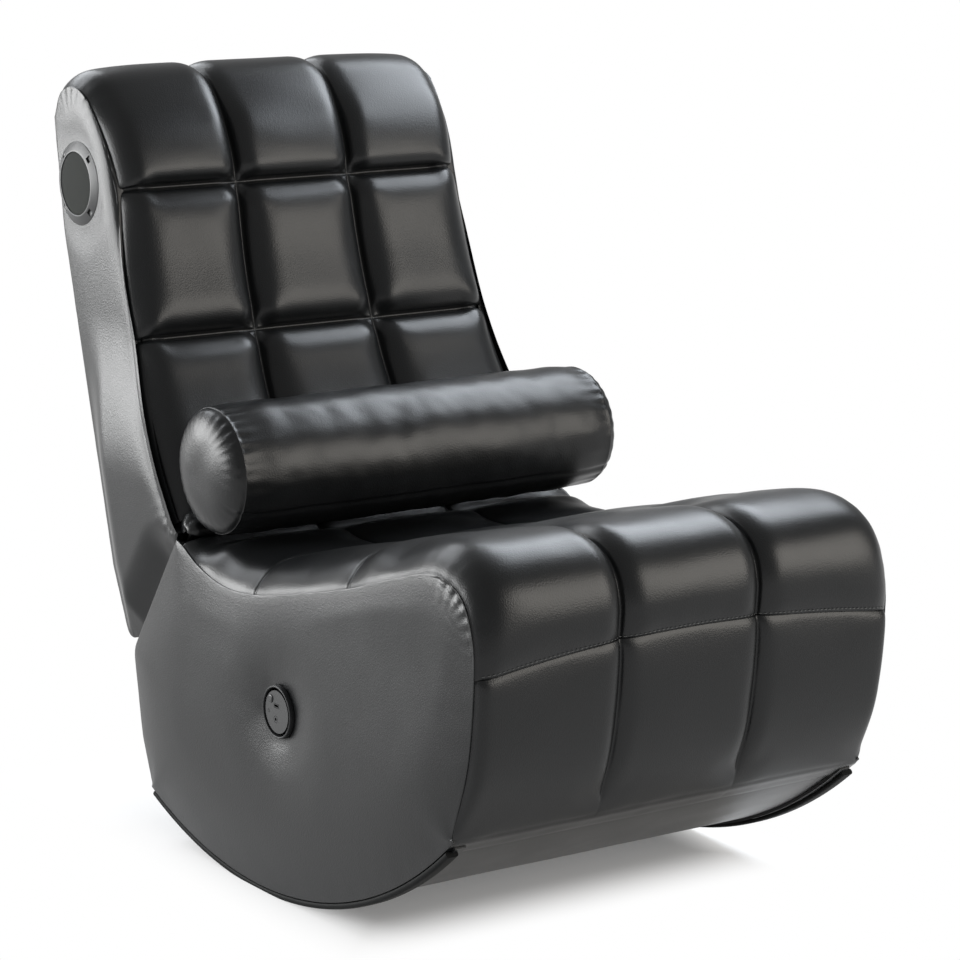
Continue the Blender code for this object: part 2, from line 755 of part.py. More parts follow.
def make_rails(shop, body):
    """Edge channels that the side boards stand in, curved to rock."""
    outer = [rocker(angle) for angle in rail_angles()]
    inner = [rocker(angle, RAIL_H) for angle in rocker_angles()]
    low, high = BOARD_INNER - RAIL_LIP - GAP, BASE_INNER + RAIL_LIP + GAP
    angles = rocker_angles(RAIL_END)
    groove = [rocker(angle, RAIL_FLOOR) for angle in angles]
    groove += [rocker(angle, 2 * RAIL_H) for angle in angles[::-1]]
    for side, sign in SIDES:
        name = "rocker_rail_" + side
        rail = slab(shop, name, outer + inner[::-1], sign * low, sign * high, "plastic", body)
        mesh = slab_mesh("rail_groove", groove, SIDE_BOARD_T + 2 * GAP)
        place = side_place(sign * (BOARD_INNER + BASE_INNER) / 2)
        boolean(rail, shop.cutter("rail_groove_" + side, mesh, place))


# Back

def make_back_boards(shop, body):
    """Plywood: two sides, three cross rails and the thin panel behind the cushion."""
    front = [BACK_PATH.beside(row, -BACK_PAD_T - GAP) for row in BACK_ROWS]
    rear = offset_line(HEEL_LINE, -BACK_COVER_T - GAP)
    outline = front[:-1] + rear[1:]
    for side, sign in SIDES:
        board = slab(shop, "back_side_" + side, outline, sign * STILE_INNER, sign * BACK_INNER, "wood", body)
        hole = rod_mesh("driver_hole", DRIVER_THROAT_R + 2 * GAP, 4 * BACK_BOARD_SIDE_T)
        boolean(board, shop.cutter("driver_hole_" + side, hole, facing(sign * BACK_INNER, SPEAKER, sign)))
    between = STILE_INNER - GAP

    panel_rows = [row for row in BACK_ROWS if row < BACK_PATH.where(HEAD_BROW)]
    face = [BACK_PATH.beside(row, -BACK_PAD_T - GAP) for row in panel_rows]
    back = [BACK_PATH.beside(row, -BACK_PAD_T - GAP - BACK_PANEL_T) for row in panel_rows]
    slab(shop, "back_panel", face + back[::-1], -between, between, "board", body)

    behind_panel = BACK_PAD_T + BACK_PANEL_T + 2 * GAP
    rails = (
        ("lumbar_rail", BACK_PATH.where(BACK_FRONT_HIP), behind_panel),
        ("shoulder_rail", BACK_PATH.where(BACK_MIDDLE), behind_panel),
        ("head_rail", BACK_PATH.where(HEAD_TOP), BACK_PAD_T + HEAD_RAIL_DROP),
    )
    for name, middle, depth in rails:
        run = BACK_PATH.tangent(middle) * CROSS_RAIL_W / 2
        face = BACK_PATH.beside(middle, -depth)
        rear_face = BACK_PATH.beside(middle, -depth - CROSS_RAIL_T)
        outline = [face - run, face + run, rear_face + run, rear_face - run]
        slab(shop, name, outline, -between, between, "wood", body)

    start = on_slope(HEEL_BOARD_FROM, FOLD_GAP + BACK_COVER_T + GAP)
    end = on_slope(BUMPER_TO, FOLD_GAP + BACK_COVER_T + GAP)
    inside = HEEL_BOARD_T * SLOPE_OUT
    outline = [start, start + inside, end + inside, end]
    slab(shop, "heel_board", outline, -between, between, "wood", body)


def make_back_pads(shop, body):
    """The quilted cushion over the front and the head, the side gussets and the rear cover."""
    cushion = quilted_mesh(
        "back_cushion", BACK_PATH, BACK_ROWS, BACK_BREAKS, BACK_INNER, BACK_PAD_T, BACK_CROWN, BACK_PUFF)
    shop.piece("back_cushion", cushion, "leather", body)

    outline = [BACK_PATH.at(row) for row in BACK_ROWS] + HEEL_LINE[1:]
    for side, sign in SIDES:
        start, end = sign * (BACK_INNER + GAP), sign * BACK_HALF
        gusset = slab(shop, "back_gusset_" + side, outline, start, end, "leather", body)
        hole = rod_mesh("speaker_hole", SPEAKER_NECK_R + 2 * GAP, 4 * GUSSET_T)
        boolean(gusset, shop.cutter("speaker_hole_" + side, hole, facing(sign * BACK_HALF, SPEAKER, sign)))

    inside = offset_line(HEEL_LINE, -BACK_COVER_T)
    below = (HEEL_LINE[1] - HEEL_LINE[0]).normalized() * (BACK_COVER_T + GAP)
    outer = [HEEL_LINE[0] + below, *HEEL_LINE[1:]]
    inner = [inside[0] + below, *inside[1:]]
    slab(shop, "back_cover", outer + inner[::-1], -BACK_INNER, BACK_INNER, "leather", body)


# Hinges and stops

def leaf_outline(out_from, out_to):
    """The side view of a hinge leaf: a plate whose top end curls round the pin."""
    middle = FOLD_GAP / 2
    start, end = [math.acos((out - middle) / KNUCKLE_R) for out in (out_from, out_to)]
    curl = []
    for step in range(KNUCKLE_STEPS + 1):
        angle = start + (end + 2 * math.pi - start) * step / KNUCKLE_STEPS
        down = KNUCKLE_R * math.sin(angle) - KNUCKLE_RISE
        curl.append(on_slope(down, KNUCKLE_R * math.cos(angle) + middle))
    return [on_slope(LEAF_LENGTH, out_from), *curl, on_slope(LEAF_LENGTH, out_to)]


def make_hinges(shop, base, back):
    """Butt hinges: two curled leaves with interleaved knuckles on one pin, and the rubber stops below."""
    pitch = LEAF_WIDTH / KNUCKLES
    bore = rod_mesh("hinge_bore", PIN_R + GAP, 2 * LEAF_WIDTH, KNUCKLE_STEPS)
    along_pin = Matrix.Translation((0.0, *PIVOT)) @ Matrix.Rotation(math.radians(90.0), 4, "Y")
    reach = 2 * KNUCKLE_R
    top = -KNUCKLE_RISE - reach
    clear = [
        on_slope(0.0, -reach), on_slope(0.0, FOLD_GAP + reach), on_slope(top, FOLD_GAP + reach),
        on_slope(top, -reach),
    ]
    leaves = (
        ("hinge_leaf_base_", base, GAP, GAP + LEAF_T, 0),
        ("hinge_leaf_back_", back, FOLD_GAP - GAP - LEAF_T, FOLD_GAP - GAP, 1),
    )
    for side, sign in SIDES:
        place = Matrix.Translation((sign * HINGE_X, HINGE_Y, 0.0))
        low_x, high_x = sign * HINGE_X - LEAF_WIDTH / 2, sign * HINGE_X + LEAF_WIDTH / 2
        for name, body, out_from, out_to, own in leaves:
            leaf = slab(shop, name + side, leaf_outline(out_from, out_to), low_x, high_x, "steel", body)
            for index in range(KNUCKLES):
                if index % 2 == own:
                    continue
                notch = slab_mesh(name + "notch", clear, pitch + 2 * GAP)
                shift = low_x + pitch * (index + 0.5)
                boolean(leaf, shop.cutter(f"{name}{side}_notch_{index}", notch, side_place(shift)))
            boolean(leaf, shop.cutter(name + side + "_bore", bore.copy(), place @ along_pin))
        pin = rod_mesh("hinge_pin_" + side, PIN_R, LEAF_WIDTH, KNUCKLE_STEPS)
        shop.piece("hinge_pin_" + side, pin, "steel", base, place @ along_pin)

        bumper = [on_slope(BUMPER_FROM, GAP), on_slope(BUMPER_FROM, FOLD_GAP - GAP),
                  on_slope(BUMPER_TO, FOLD_GAP - GAP), on_slope(BUMPER_TO, GAP)]
        start = sign * (HINGE_X - BUMPER_WIDTH / 2)
        end = sign * (HINGE_X + BUMPER_WIDTH / 2)
        slab(shop, "heel_bumper_" + side, bumper, start, end, "rubber", back)


# Speakers

def make_speakers(shop, body):
    for side, sign in SIDES:
        face = facing(sign * (BACK_HALF + GAP), SPEAKER, sign)
        seat = facing(sign * (BACK_INNER + GAP), SPEAKER, sign)
        ring = SPEAKER_GRILLE_R + GAP
        neck_in = SPEAKER_NECK_R - BEZEL_LEDGE
        lip = SPEAKER_BEZEL_T * 0.4
        bezel = [
            (ring, SPEAKER_BEZEL_T - GAP), (ring + GRILLE_CHAMFER, SPEAKER_BEZEL_T),
            (SPEAKER_BEZEL_R - BEZEL_CHAMFER, SPEAKER_BEZEL_T), (SPEAKER_BEZEL_R, lip),
            (SPEAKER_BEZEL_R, 0.0), (SPEAKER_NECK_R, 0.0), (SPEAKER_NECK_R, -GUSSET_T + 2 * GAP),
            (neck_in, -GUSSET_T + 2 * GAP), (neck_in, lip), (ring, lip),
        ]
        rim = shop.piece("speaker_bezel_" + side, turned_mesh("speaker_bezel", bezel), "plastic", body, face)
        middle = (ring + SPEAKER_BEZEL_R) / 2
        for index in range(CLIP_NOTCHES):
            angle = math.radians(45.0) + 2 * math.pi * index / CLIP_NOTCHES
            spot = Matrix.Rotation(angle, 4, "Z") @ Matrix.Translation((middle, 0.0, SPEAKER_BEZEL_T))
            notch = box_mesh("clip_notch", (CLIP_NOTCH[0], CLIP_NOTCH[1], 2 * CLIP_NOTCH[2]))
            boolean(rim, shop.cutter(f"clip_notch_{side}_{index}", notch, face @ spot))

        top = SPEAKER_BEZEL_T - GRILLE_SINK
        grille = [(0.0, top), (SPEAKER_GRILLE_R, top - GAP), (SPEAKER_GRILLE_R, lip + GAP), (0.0, lip + GAP)]
        cloth = turned_mesh("speaker_grille", grille, closed=False)
        shop.piece("speaker_grille_" + side, cloth, "grille", body, face)

        wall = DRIVER_WALL
        rear_lip = DRIVER_REAR_R - DRIVER_REAR_LIP
        frame = [
            (DRIVER_FLANGE_R, DRIVER_FLANGE_T), (DRIVER_FLANGE_R, 0.0), (DRIVER_THROAT_R, 0.0),
            (DRIVER_THROAT_R, -BACK_BOARD_SIDE_T), (DRIVER_REAR_R, -DRIVER_DEPTH),
            (rear_lip, -DRIVER_DEPTH), (rear_lip, -DRIVER_DEPTH + wall),
            (DRIVER_REAR_R - wall, -DRIVER_DEPTH + wall), (DRIVER_THROAT_R - wall, -BACK_BOARD_SIDE_T),
            (DRIVER_THROAT_R - wall, DRIVER_FLANGE_T),
        ]
        frame_mesh = turned_mesh("speaker_frame", frame, DRIVER_STEPS)
        shop.piece("speaker_frame_" + side, frame_mesh, "steel", body, seat)

        rim_r = DRIVER_THROAT_R - wall - GAP
        rim_top = DRIVER_FLANGE_T - wall
        cone = [
            (0.0, -CONE_DEPTH / 2), (CONE_CAP_R * 0.7, -CONE_DEPTH * 0.65), (CONE_CAP_R, CONE_T - CONE_DEPTH),
            (rim_r, rim_top), (rim_r, rim_top - CONE_T), (CONE_CAP_R, -CONE_DEPTH), (0.0, -CONE_DEPTH),
        ]
        cone_mesh = turned_mesh("speaker_cone", cone, DRIVER_STEPS, closed=False)
        shop.piece("speaker_cone_" + side, cone_mesh, "paper", body, seat)

        top = -DRIVER_DEPTH - GAP
        magnet = [(0.0, top), (MAGNET_R, top), (MAGNET_R, top - MAGNET_T), (0.0, top - MAGNET_T)]
        magnet_mesh = turned_mesh("speaker_magnet", magnet, DRIVER_STEPS, closed=False)
        shop.piece("speaker_magnet_" + side, magnet_mesh, "magnet", body, seat)


# Control panel

def make_controls(shop, base, button_body):
    """A turned rim and face with its sockets, and the sprung button that moves in it."""
    face = facing(-(BASE_HALF + GAP), CONTROL, -1)
    recess = CONTROL_T - CONTROL_RECESS
    bore = CONTROL_TUBE_R - CONTROL_WALL
    bezel = [
        (bore, CONTROL_T), (CONTROL_R - CONTROL_CHAMFER, CONTROL_T), (CONTROL_R, CONTROL_T * 0.5),
        (CONTROL_R, 0.0), (CONTROL_TUBE_R, 0.0), (CONTROL_TUBE_R, -CONTROL_TUBE_DEPTH),
        (bore, -CONTROL_TUBE_DEPTH),
    ]
    shop.piece("control_bezel", turned_mesh("control_bezel", bezel), "plastic", base, face)

    disc_r = bore - GAP
    under = recess - CONTROL_FACE_T
    disc = [(0.0, recess), (disc_r, recess), (disc_r, under), (0.0, under)]
    plate = shop.piece("control_face", turned_mesh("control_face", disc, closed=False), "plastic", base, face)

    def spot(place, depth=0.0):
        """A place on the panel, given towards the rear and up, as the frame's own axes see it."""
        return face @ Matrix.Translation((place[1], place[0], recess + depth))

    deep = 4 * CONTROL_FACE_T
    holes = (
        ("button_hole", rod_mesh("button_hole", BUTTON_R + GAP, deep, 20), BUTTON_AT),
        ("usb_hole", box_mesh("usb_hole", (USB_SIZE[0] + 2 * GAP, USB_SIZE[1] + 2 * GAP, deep)), USB_AT),
        ("jack_hole", rod_mesh("jack_hole", JACK_R + GAP, deep, 16), JACK_AT),
        ("led_hole", rod_mesh("led_hole", LED_R + GAP, deep, 12), LED_AT),
    )
    for name, mesh, place in holes:
        boolean(plate, shop.cutter(name, mesh, spot(place)))

    socket = SOCKET_DEPTH
    shell = box_mesh("usb_port", (*USB_SIZE, socket))
    usb = shop.piece("usb_port", shell, "steel", base, spot(USB_AT, -socket / 2))
    mouth = box_mesh("usb_mouth", (USB_SIZE[0] - 2 * USB_WALL, USB_SIZE[1] - 2 * USB_WALL, socket))
    boolean(usb, shop.cutter("usb_mouth", mesh=mouth, place=spot(USB_AT)))
    jack = [(JACK_R, 0.0), (JACK_R, -socket), (JACK_R * 0.5, -socket), (JACK_R * 0.5, 0.0)]
    shop.piece("aux_jack", turned_mesh("aux_jack", jack, 16), "steel", base, spot(JACK_AT))
    led = rod_mesh("status_led", LED_R, socket, 12)
    shop.piece("status_led", led, "led", base, spot(LED_AT, -socket / 2))

    foot = -socket + BUTTON_TRAVEL + 2 * GAP
    cap = [
        (0.0, BUTTON_RISE), (BUTTON_R * 0.7, BUTTON_RISE), (BUTTON_R, BUTTON_RISE / 2), (BUTTON_R, foot),
        (0.0, foot),
    ]
    button = turned_mesh("power_button", cap, 20, closed=False)
    shop.piece("power_button", button, "plastic", button_body, spot(BUTTON_AT))

    circuit_r = bore - GAP
    circuit = rod_mesh("amplifier_board", circuit_r, CIRCUIT_T, TURN_STEPS)
    depth = -socket - GAP - CIRCUIT_T / 2 - BUTTON_TRAVEL
    place = face @ Matrix.Translation((0.0, 0.0, recess + depth))
    shop.piece("amplifier_board", circuit, "circuit", base, place)


# Bolster

def bolster_middle():
    """The bolster's axis in the side plane, low enough to rest on the seat's middle column."""
    puff = SEAT_PUFF * (1.0 - min(abs(station) for station in CELL_STATIONS) ** PUFF_POWER)
    seat = [BASE_PATH.beside(row, SEAT_CROWN + puff * cell_swell(row, SEAT_BREAKS)) for row in SEAT_ROWS]
    reach = BOLSTER_R + GAP
    heights = []
    for start, end in zip(seat, seat[1:]):
        for step in range(Path.SPAN_STEPS):
            y, z = start.lerp(end, step / Path.SPAN_STEPS)
            if abs(y - BOLSTER_Y) < reach:
                heights.append(z + math.sqrt(reach ** 2 - (y - BOLSTER_Y) ** 2))
    return Vector((BOLSTER_Y, max(heights)))


def make_bolster(shop, body):
    """A round cushion with a slack, softly waisted roll and two drawn-in end caps."""
    middle = bolster_middle()
    place = facing(0.0, middle, 1)
    half = BOLSTER_SEAM_X - GAP
    stations = (1.0, 0.97, 0.88, 0.6, 0.2, -0.2, -0.6, -0.88, -0.97, -1.0)
    profile = [(0.0, half)]
    for station in stations:
        profile.append((BOLSTER_R - BOLSTER_DRAWN * abs(station) ** 12, half * station))
    profile.append((0.0, -half))
    roll = turned_mesh("bolster_roll", profile, BOLSTER_SIDES, closed=False)
    shop.piece("bolster_roll", roll, "leather", body, place)
    edge = BOLSTER_R - BOLSTER_DRAWN
    for side, sign in SIDES:
        cap = [(0.0, BOLSTER_CAP_BULGE)]
        for step in range(1, 5):
            angle = math.radians(90.0) * step / 5
            cap.append((edge * math.sin(angle), BOLSTER_CAP_BULGE * math.cos(angle) ** 0.8))
        cap += [(edge, 0.0), (0.0, 0.0)]
        mesh = turned_mesh("bolster_cap_" + side, cap, BOLSTER_SIDES, closed=False)
        shop.piece("bolster_cap_" + side, mesh, "leather", body, facing(sign * (half + GAP), middle, sign))


def main():
    clear_scene()
    shop = Workshop()
    base = shop.anchor("base_frame", (0.0, HINGE_Y, 0.0))
    back = shop.anchor("back_fold_axis", (0.0, HINGE_Y + PIVOT.x, PIVOT.y))
    roll = bolster_middle()
    bolster = shop.anchor("bolster_axis", (0.0, HINGE_Y + roll.x, roll.y))
    button_at = (-(BASE_HALF + CONTROL_T), HINGE_Y + CONTROL[0] + BUTTON_AT[0], CONTROL[1] + BUTTON_AT[1])
    button = shop.anchor("button_axis", button_at)
    make_base_boards(shop, base)
    make_base_pads(shop, base)
    make_rails(shop, base)
    make_back_boards(shop, back)
    make_back_pads(shop, back)
    make_hinges(shop, base, back)
    make_speakers(shop, back)
    make_controls(shop, base, button)
    make_bolster(shop, bolster)


main()
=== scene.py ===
"""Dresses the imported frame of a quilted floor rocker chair: upholstery, trim, speakers, control panel,
materials and studio. Metres, +Z up; the sitter faces -Y, and "left" in a name is the side at -X.
Side views are (y, z) points, with y measured back from the hinge line."""

import json
import math

import bmesh
import bpy
import numpy as np
from bpy.props import FloatProperty, FloatVectorProperty, IntProperty, PointerProperty, StringProperty
from mathutils import Matrix, Vector, noise


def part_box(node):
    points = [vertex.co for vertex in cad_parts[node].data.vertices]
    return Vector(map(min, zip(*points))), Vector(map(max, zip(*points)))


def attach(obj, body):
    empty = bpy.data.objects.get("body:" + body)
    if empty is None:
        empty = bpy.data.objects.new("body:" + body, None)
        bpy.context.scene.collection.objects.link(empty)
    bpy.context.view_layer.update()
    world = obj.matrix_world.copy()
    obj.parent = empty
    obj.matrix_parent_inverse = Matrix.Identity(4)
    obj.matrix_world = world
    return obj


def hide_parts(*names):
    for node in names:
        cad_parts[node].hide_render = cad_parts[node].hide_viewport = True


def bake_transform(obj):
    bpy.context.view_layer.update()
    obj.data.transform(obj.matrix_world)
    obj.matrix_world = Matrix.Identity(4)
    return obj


bl_info = {
    "name": "Quilted Floor Rocker",
    "version": (1, 0, 0),
    "blender": (4, 5, 0),
    "location": "View3D > Sidebar > Floor Rocker",
    "description": "Dresses the frame of a quilted floor rocker chair",
    "category": "Object",
}

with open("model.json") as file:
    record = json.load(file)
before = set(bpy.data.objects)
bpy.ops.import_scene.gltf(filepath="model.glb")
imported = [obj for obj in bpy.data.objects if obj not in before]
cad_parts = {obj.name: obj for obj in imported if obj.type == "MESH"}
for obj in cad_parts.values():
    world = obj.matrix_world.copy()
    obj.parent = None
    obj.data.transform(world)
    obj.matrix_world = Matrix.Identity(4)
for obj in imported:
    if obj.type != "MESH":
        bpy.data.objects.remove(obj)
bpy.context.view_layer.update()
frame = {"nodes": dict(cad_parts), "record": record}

SIDES = (("left", -1), ("right", 1))
# Side views are measured from here; the hinge pins' own axis is given as (y, z) in the room
HINGE_Y = 0.1213
HINGE_AXIS = (0.11866, 0.30592)
# The quilting has three equal columns: its lines as shares of the half width
COLUMNS = np.array([-1.0, -1 / 3, 1 / 3, 1.0])

# Base: widths and side view
BASE_HALF = 0.220
SEAT_HALF = 0.2185
REAR_TOP = (-0.002, 0.299)
KNEE = (0.086, 0.176)
KNEE_R = 0.012
REAR_LOW_BULGE = (0.072, 0.094)
FRONT_BELLY = (-0.489, 0.200)
FRONT_SEAM = (-0.498, 0.273)
ROLL_FRONT = (-0.494, 0.312)
ROLL_SHOULDER = (-0.476, 0.341)
ROLL_TOP = (-0.437, 0.351)
ROLL_BACK = (-0.375, 0.335)
SEAT_SEAM_FRONT = (-0.302, 0.312)
SEAT_MIDDLE = (-0.215, 0.290)
SEAT_SEAM_REAR = (-0.143, 0.275)
SEAT_DIP = (-0.090, 0.272)
SEAT_RISE = (-0.045, 0.281)
SEAT_END = (-0.012, 0.296)
ROCKER_Y = -0.142
ROCKER_R = 0.493
ROCKER_FRONT = math.radians(42.0)
ROCKER_REAR = math.radians(24.0)
ROCKER_FLAT = math.radians(5.5)
RAIL_H = 0.010
RAIL_X = (0.2072, 0.2192)
RAIL_SHOWN = 0.0058
RAIL_END = math.radians(0.7)
RAIL_FRONT_END = math.radians(2.0)
UNDERSIDE_RISE = 0.0065
UNDERSIDE_HALF = 0.2066
SEAM_LAP = 0.0006

# Back: side view, and half widths along its front from the crease to the rear of the head
BACK_FRONT_LOW = (0.022, 0.306)
BACK_HIP = (0.084, 0.404)
BACK_SEAM_LOW = (0.112, 0.467)
BACK_MIDDLE = (0.134, 0.530)
BACK_SEAM_HIGH = (0.152, 0.607)
HEAD_FRONT = (0.168, 0.655)
HEAD_BROW = (0.195, 0.695)
HEAD_TOP = (0.226, 0.707)
HEAD_REAR = (0.255, 0.698)
BACK_REAR_TOP = (0.270, 0.672)
BACK_REAR_HIGH = (0.250, 0.560)
BACK_REAR_LOW = (0.163, 0.240)
HEEL = (0.132, 0.173)
HEEL_R = 0.014
BACK_HALF = 0.199
BACK_HALVES = (0.2135, 0.2085, 0.2010, 0.1970, 0.1905, 0.1945, 0.1975, 0.1990, 0.1990, 0.1990)
FOLD_GAP = 0.007
HEEL_LENGTH = 0.144

# Fittings
SPEAKER = (0.216, 0.609)
SPEAKER_HOLE = 0.0352
SPEAKER_CLOTH_R = 0.0304
NOTCHES_AT = 0.0362
CONTROL = (-0.192, 0.178)
CONTROL_HOLE = 0.0224
CONTROL_BORE = 0.0221
BOLSTER_R = 0.062
BOLSTER_SEAM_X = 0.2035

# The crease strip's half length, and the last part of it over which it narrows
CREASE_HALF = 0.2085
CREASE_END = 0.0120

# Points this close to a line are sewn to it, and places beside it that get their own row of points
SEWN = 0.001
BESIDE = (0.0009, 0.0022, 0.0045, 0.0080)


# Sizes and colours that a user would change

class UpholsterySizes(bpy.types.PropertyGroup):
    """How full the pads are and how deeply they are sewn"""
    back_puff: FloatProperty(
        name="Back puff", description="Height of a back cell over its sewn lines", default=0.0155, unit="LENGTH")
    seat_puff: FloatProperty(
        name="Seat puff", description="Height of a seat cell over its sewn lines", default=0.0105, unit="LENGTH")
    front_puff: FloatProperty(
        name="Front puff", description="Height of a front column over its sewn lines", default=0.0095, unit="LENGTH")
    seam_depth: FloatProperty(
        name="Seam depth", description="Depth of the drawn-in thread line", default=0.0022, unit="LENGTH")
    gather_depth: FloatProperty(
        name="Gather depth", description="Depth of the puckers along curved seams", default=0.0016, unit="LENGTH")
    gather_length: FloatProperty(
        name="Gather length", description="Spacing of the puckers along a seam", default=0.0105, unit="LENGTH")
    stitch_length: FloatProperty(
        name="Stitch length", description="Length of one visible stitch", default=0.0030, unit="LENGTH")
    stitch_pitch: FloatProperty(
        name="Stitch pitch", description="Distance from stitch to stitch", default=0.0046, unit="LENGTH")
    pressure: FloatProperty(
        name="Filling pressure", description="Pressure under the cover while it settles", default=4.0)
    settle_frames: IntProperty(
        name="Settling frames", description="Steps in which the cover settles", default=20)


class FinishColours(bpy.types.PropertyGroup):
    """Colours of the finishes as sRGB hex values"""
    leatherette: StringProperty(name="Faux leather", description="Coated upholstery", default="#111213")
    thread: StringProperty(name="Thread", description="Visible stitches", default="#505151")
    trim: StringProperty(name="Edge trim", description="Extruded rocker rails", default="#0d0e0e")
    moulding: StringProperty(name="Mouldings", description="Bezels and control panel", default="#1a1b1c")
    grille: StringProperty(name="Grille cloth", description="Speaker cloth", default="#2c2e2c")


class StudioSettings(bpy.types.PropertyGroup):
    """The camera"""
    camera_at: FloatVectorProperty(
        name="Camera place", description="Where the camera stands", default=(-1.6830, -2.5563, 0.9798),
        subtype="TRANSLATION")
    camera_ahead: FloatVectorProperty(
        name="Camera direction", description="Where the camera looks", default=(0.5478, 0.8121, -0.2013),
        subtype="DIRECTION")
    lens: FloatProperty(name="Lens", description="Focal length in millimetres", default=125.6)


class ChairSettings(bpy.types.PropertyGroup):
    """All settings of the chair"""
    sizes: PointerProperty(type=UpholsterySizes)
    colours: PointerProperty(type=FinishColours)
    studio: PointerProperty(type=StudioSettings)


# Side-view lines and small maths

class SideLine:
    """A smooth line through (y, z) points, read by the distance along it; outside is on its left."""

    def __init__(self, points, smooth=True):
        knots = np.array([tuple(point) for point in points], float)
        if smooth:
            ends = np.vstack([2 * knots[0] - knots[1], knots, 2 * knots[-1] - knots[-2]])
            share = (np.arange(48) / 48)[:, None]
            runs = [
                b + 0.5 * share * ((c - a) + share * (2 * a - 5 * b + 4 * c - d)
                                   + share ** 2 * (3 * b - a - 3 * c + d))
                for a, b, c, d in zip(ends, ends[1:], ends[2:], ends[3:])
            ]
            knots = np.vstack([*runs, knots[-1]])
        self.points = knots
        self.marks = run_marks(knots)
        self.length = self.marks[-1]

    def at(self, distance):
        """Points of the line."""
        return read_row(distance, self.marks, self.points)

    def outward(self, distance):
        """Unit vectors across the line, to its outside."""
        run = self.at(np.asarray(distance) + 0.002) - self.at(np.asarray(distance) - 0.002)
        run = run / np.linalg.norm(run, axis=-1, keepdims=True)
        return np.stack([-run[..., 1], run[..., 0]], -1)

    def beside(self, distance, out):
        """Points `out` from the line, to its outside."""
        return self.at(distance) + self.outward(distance) * np.asarray(out)[..., None]

    def where(self, point):
        """The distance at which the line passes a point."""
        return self.marks[np.argmin(np.linalg.norm(self.points - np.array(point), axis=1))]


def run_marks(points):
    """Distances along a row of points, from its first one."""
    return np.concatenate([[0.0], np.cumsum(np.linalg.norm(np.diff(points, axis=0), axis=1))])


def read_row(distance, marks, row):
    """Points or vectors of a row, read at distances along it."""
    return np.stack([np.interp(distance, marks, column) for column in row.T], -1)


def room(x, place):
    """Points in the room from places across it and (y, z) points of a side view."""
    return np.stack([x, HINGE_Y + place[..., 0], place[..., 1]], -1)


def around(x, turn, radius=1.0):
    """Points at a turn round the X direction."""
    return np.stack([x, radius * np.cos(turn), radius * np.sin(turn)], -1)


def rocker(angle, rise):
    """A point of the rocker's arc, `rise` inside it; the angle runs forward from straight down."""
    radius = ROCKER_R - rise
    middle = ROCKER_R * math.cos(ROCKER_FLAT)
    return (ROCKER_Y - radius * math.sin(angle), middle - radius * math.cos(angle))


def rocker_run(start, end, rise, steps=60):
    """Points along the rocker's arc."""
    return [rocker(start + (end - start) * step / steps, rise) for step in range(steps + 1)]


def round_corner(before, corner, after, radius, steps=8):
    """Points of a round corner between two straight runs."""
    before, corner, after = Vector(before), Vector(corner), Vector(after)
    inward, outward = (before - corner).normalized(), (after - corner).normalized()
    half = inward.angle(outward) / 2
    middle = corner + (inward + outward).normalized() * radius / math.sin(half)
    start = corner + inward * radius / math.tan(half) - middle
    turn = start.angle_signed(corner + outward * radius / math.tan(half) - middle)
    return [middle + Matrix.Rotation(-turn * step / steps, 2) @ start for step in range(steps + 1)]


def eased(share):
    """A share from 0 to 1, with soft ends."""
    share = np.clip(share, 0.0, 1.0)
    return share * share * (3 - 2 * share)


def rounded_rise(gap, reach, power=2.4):
    """0 on a sewn line, rising steeply and then levelling out to 1 at `reach`."""
    return 1.0 - (1.0 - np.clip(gap / reach, 0.0, 1.0)) ** power


def pillow(*edges):
    """Fullness of a cell from (gap, reach) to each of its sewn edges: level inside, with rounded corners."""
    nearness = sum((1.0 - np.clip(gap / reach, 0.0, 1.0)) ** 2 for gap, reach in edges)
    return 1.0 - np.minimum(np.sqrt(nearness), 1.0) ** 2.4


def nearest_line(places, lines):
    """Distance from each place to the nearest of some lines."""
    return np.min(np.abs(places[..., None] - np.asarray(lines)), axis=-1)


def cloudy(points, size, seed):
    """Smooth noise from -1 to 1 at each point, with lumps of about that size in metres."""
    shift = Vector((seed * 7.31, seed * 3.17, seed * 5.77))
    flat = points.reshape(-1, 3) / size
    values = [noise.noise(Vector(point) + shift) for point in flat]
    return np.array(values).reshape(points.shape[:-1])


def stations(lines, step):
    """Places from the first to the last line, close together beside each of them."""
    places = []
    for start, end in zip(lines, lines[1:]):
        beside = [gap for gap in BESIDE if gap < 0.3 * (end - start)]
        inner = np.linspace(start + beside[-1], end - beside[-1],
                            max(2, round((end - start - 2 * beside[-1]) / step) + 1))
        places += [start, *(start + gap for gap in beside[:-1]), *inner,
                   *(end - gap for gap in reversed(beside[:-1]))]
    return np.array([*places, lines[-1]])


BASE_LINE = SideLine([
    rocker(ROCKER_FRONT, RAIL_H), FRONT_BELLY, FRONT_SEAM, ROLL_FRONT, ROLL_SHOULDER, ROLL_TOP, ROLL_BACK,
    SEAT_SEAM_FRONT, SEAT_MIDDLE, SEAT_SEAM_REAR, SEAT_DIP, SEAT_RISE, SEAT_END,
])
BACK_KNOTS = (BACK_FRONT_LOW, BACK_HIP, BACK_SEAM_LOW, BACK_MIDDLE, BACK_SEAM_HIGH, HEAD_FRONT, HEAD_BROW,
              HEAD_TOP, HEAD_REAR, BACK_REAR_TOP)
BACK_LINE = SideLine(BACK_KNOTS)
REAR_LINE = SideLine([
    REAR_TOP, *round_corner(REAR_TOP, KNEE, REAR_LOW_BULGE, KNEE_R), REAR_LOW_BULGE,
    rocker(-ROCKER_REAR, RAIL_H),
], smooth=False)
SLOPE = (Vector(KNEE) - Vector(REAR_TOP)).normalized()
SLOPE_OUT = Vector((-SLOPE.y, SLOPE.x))
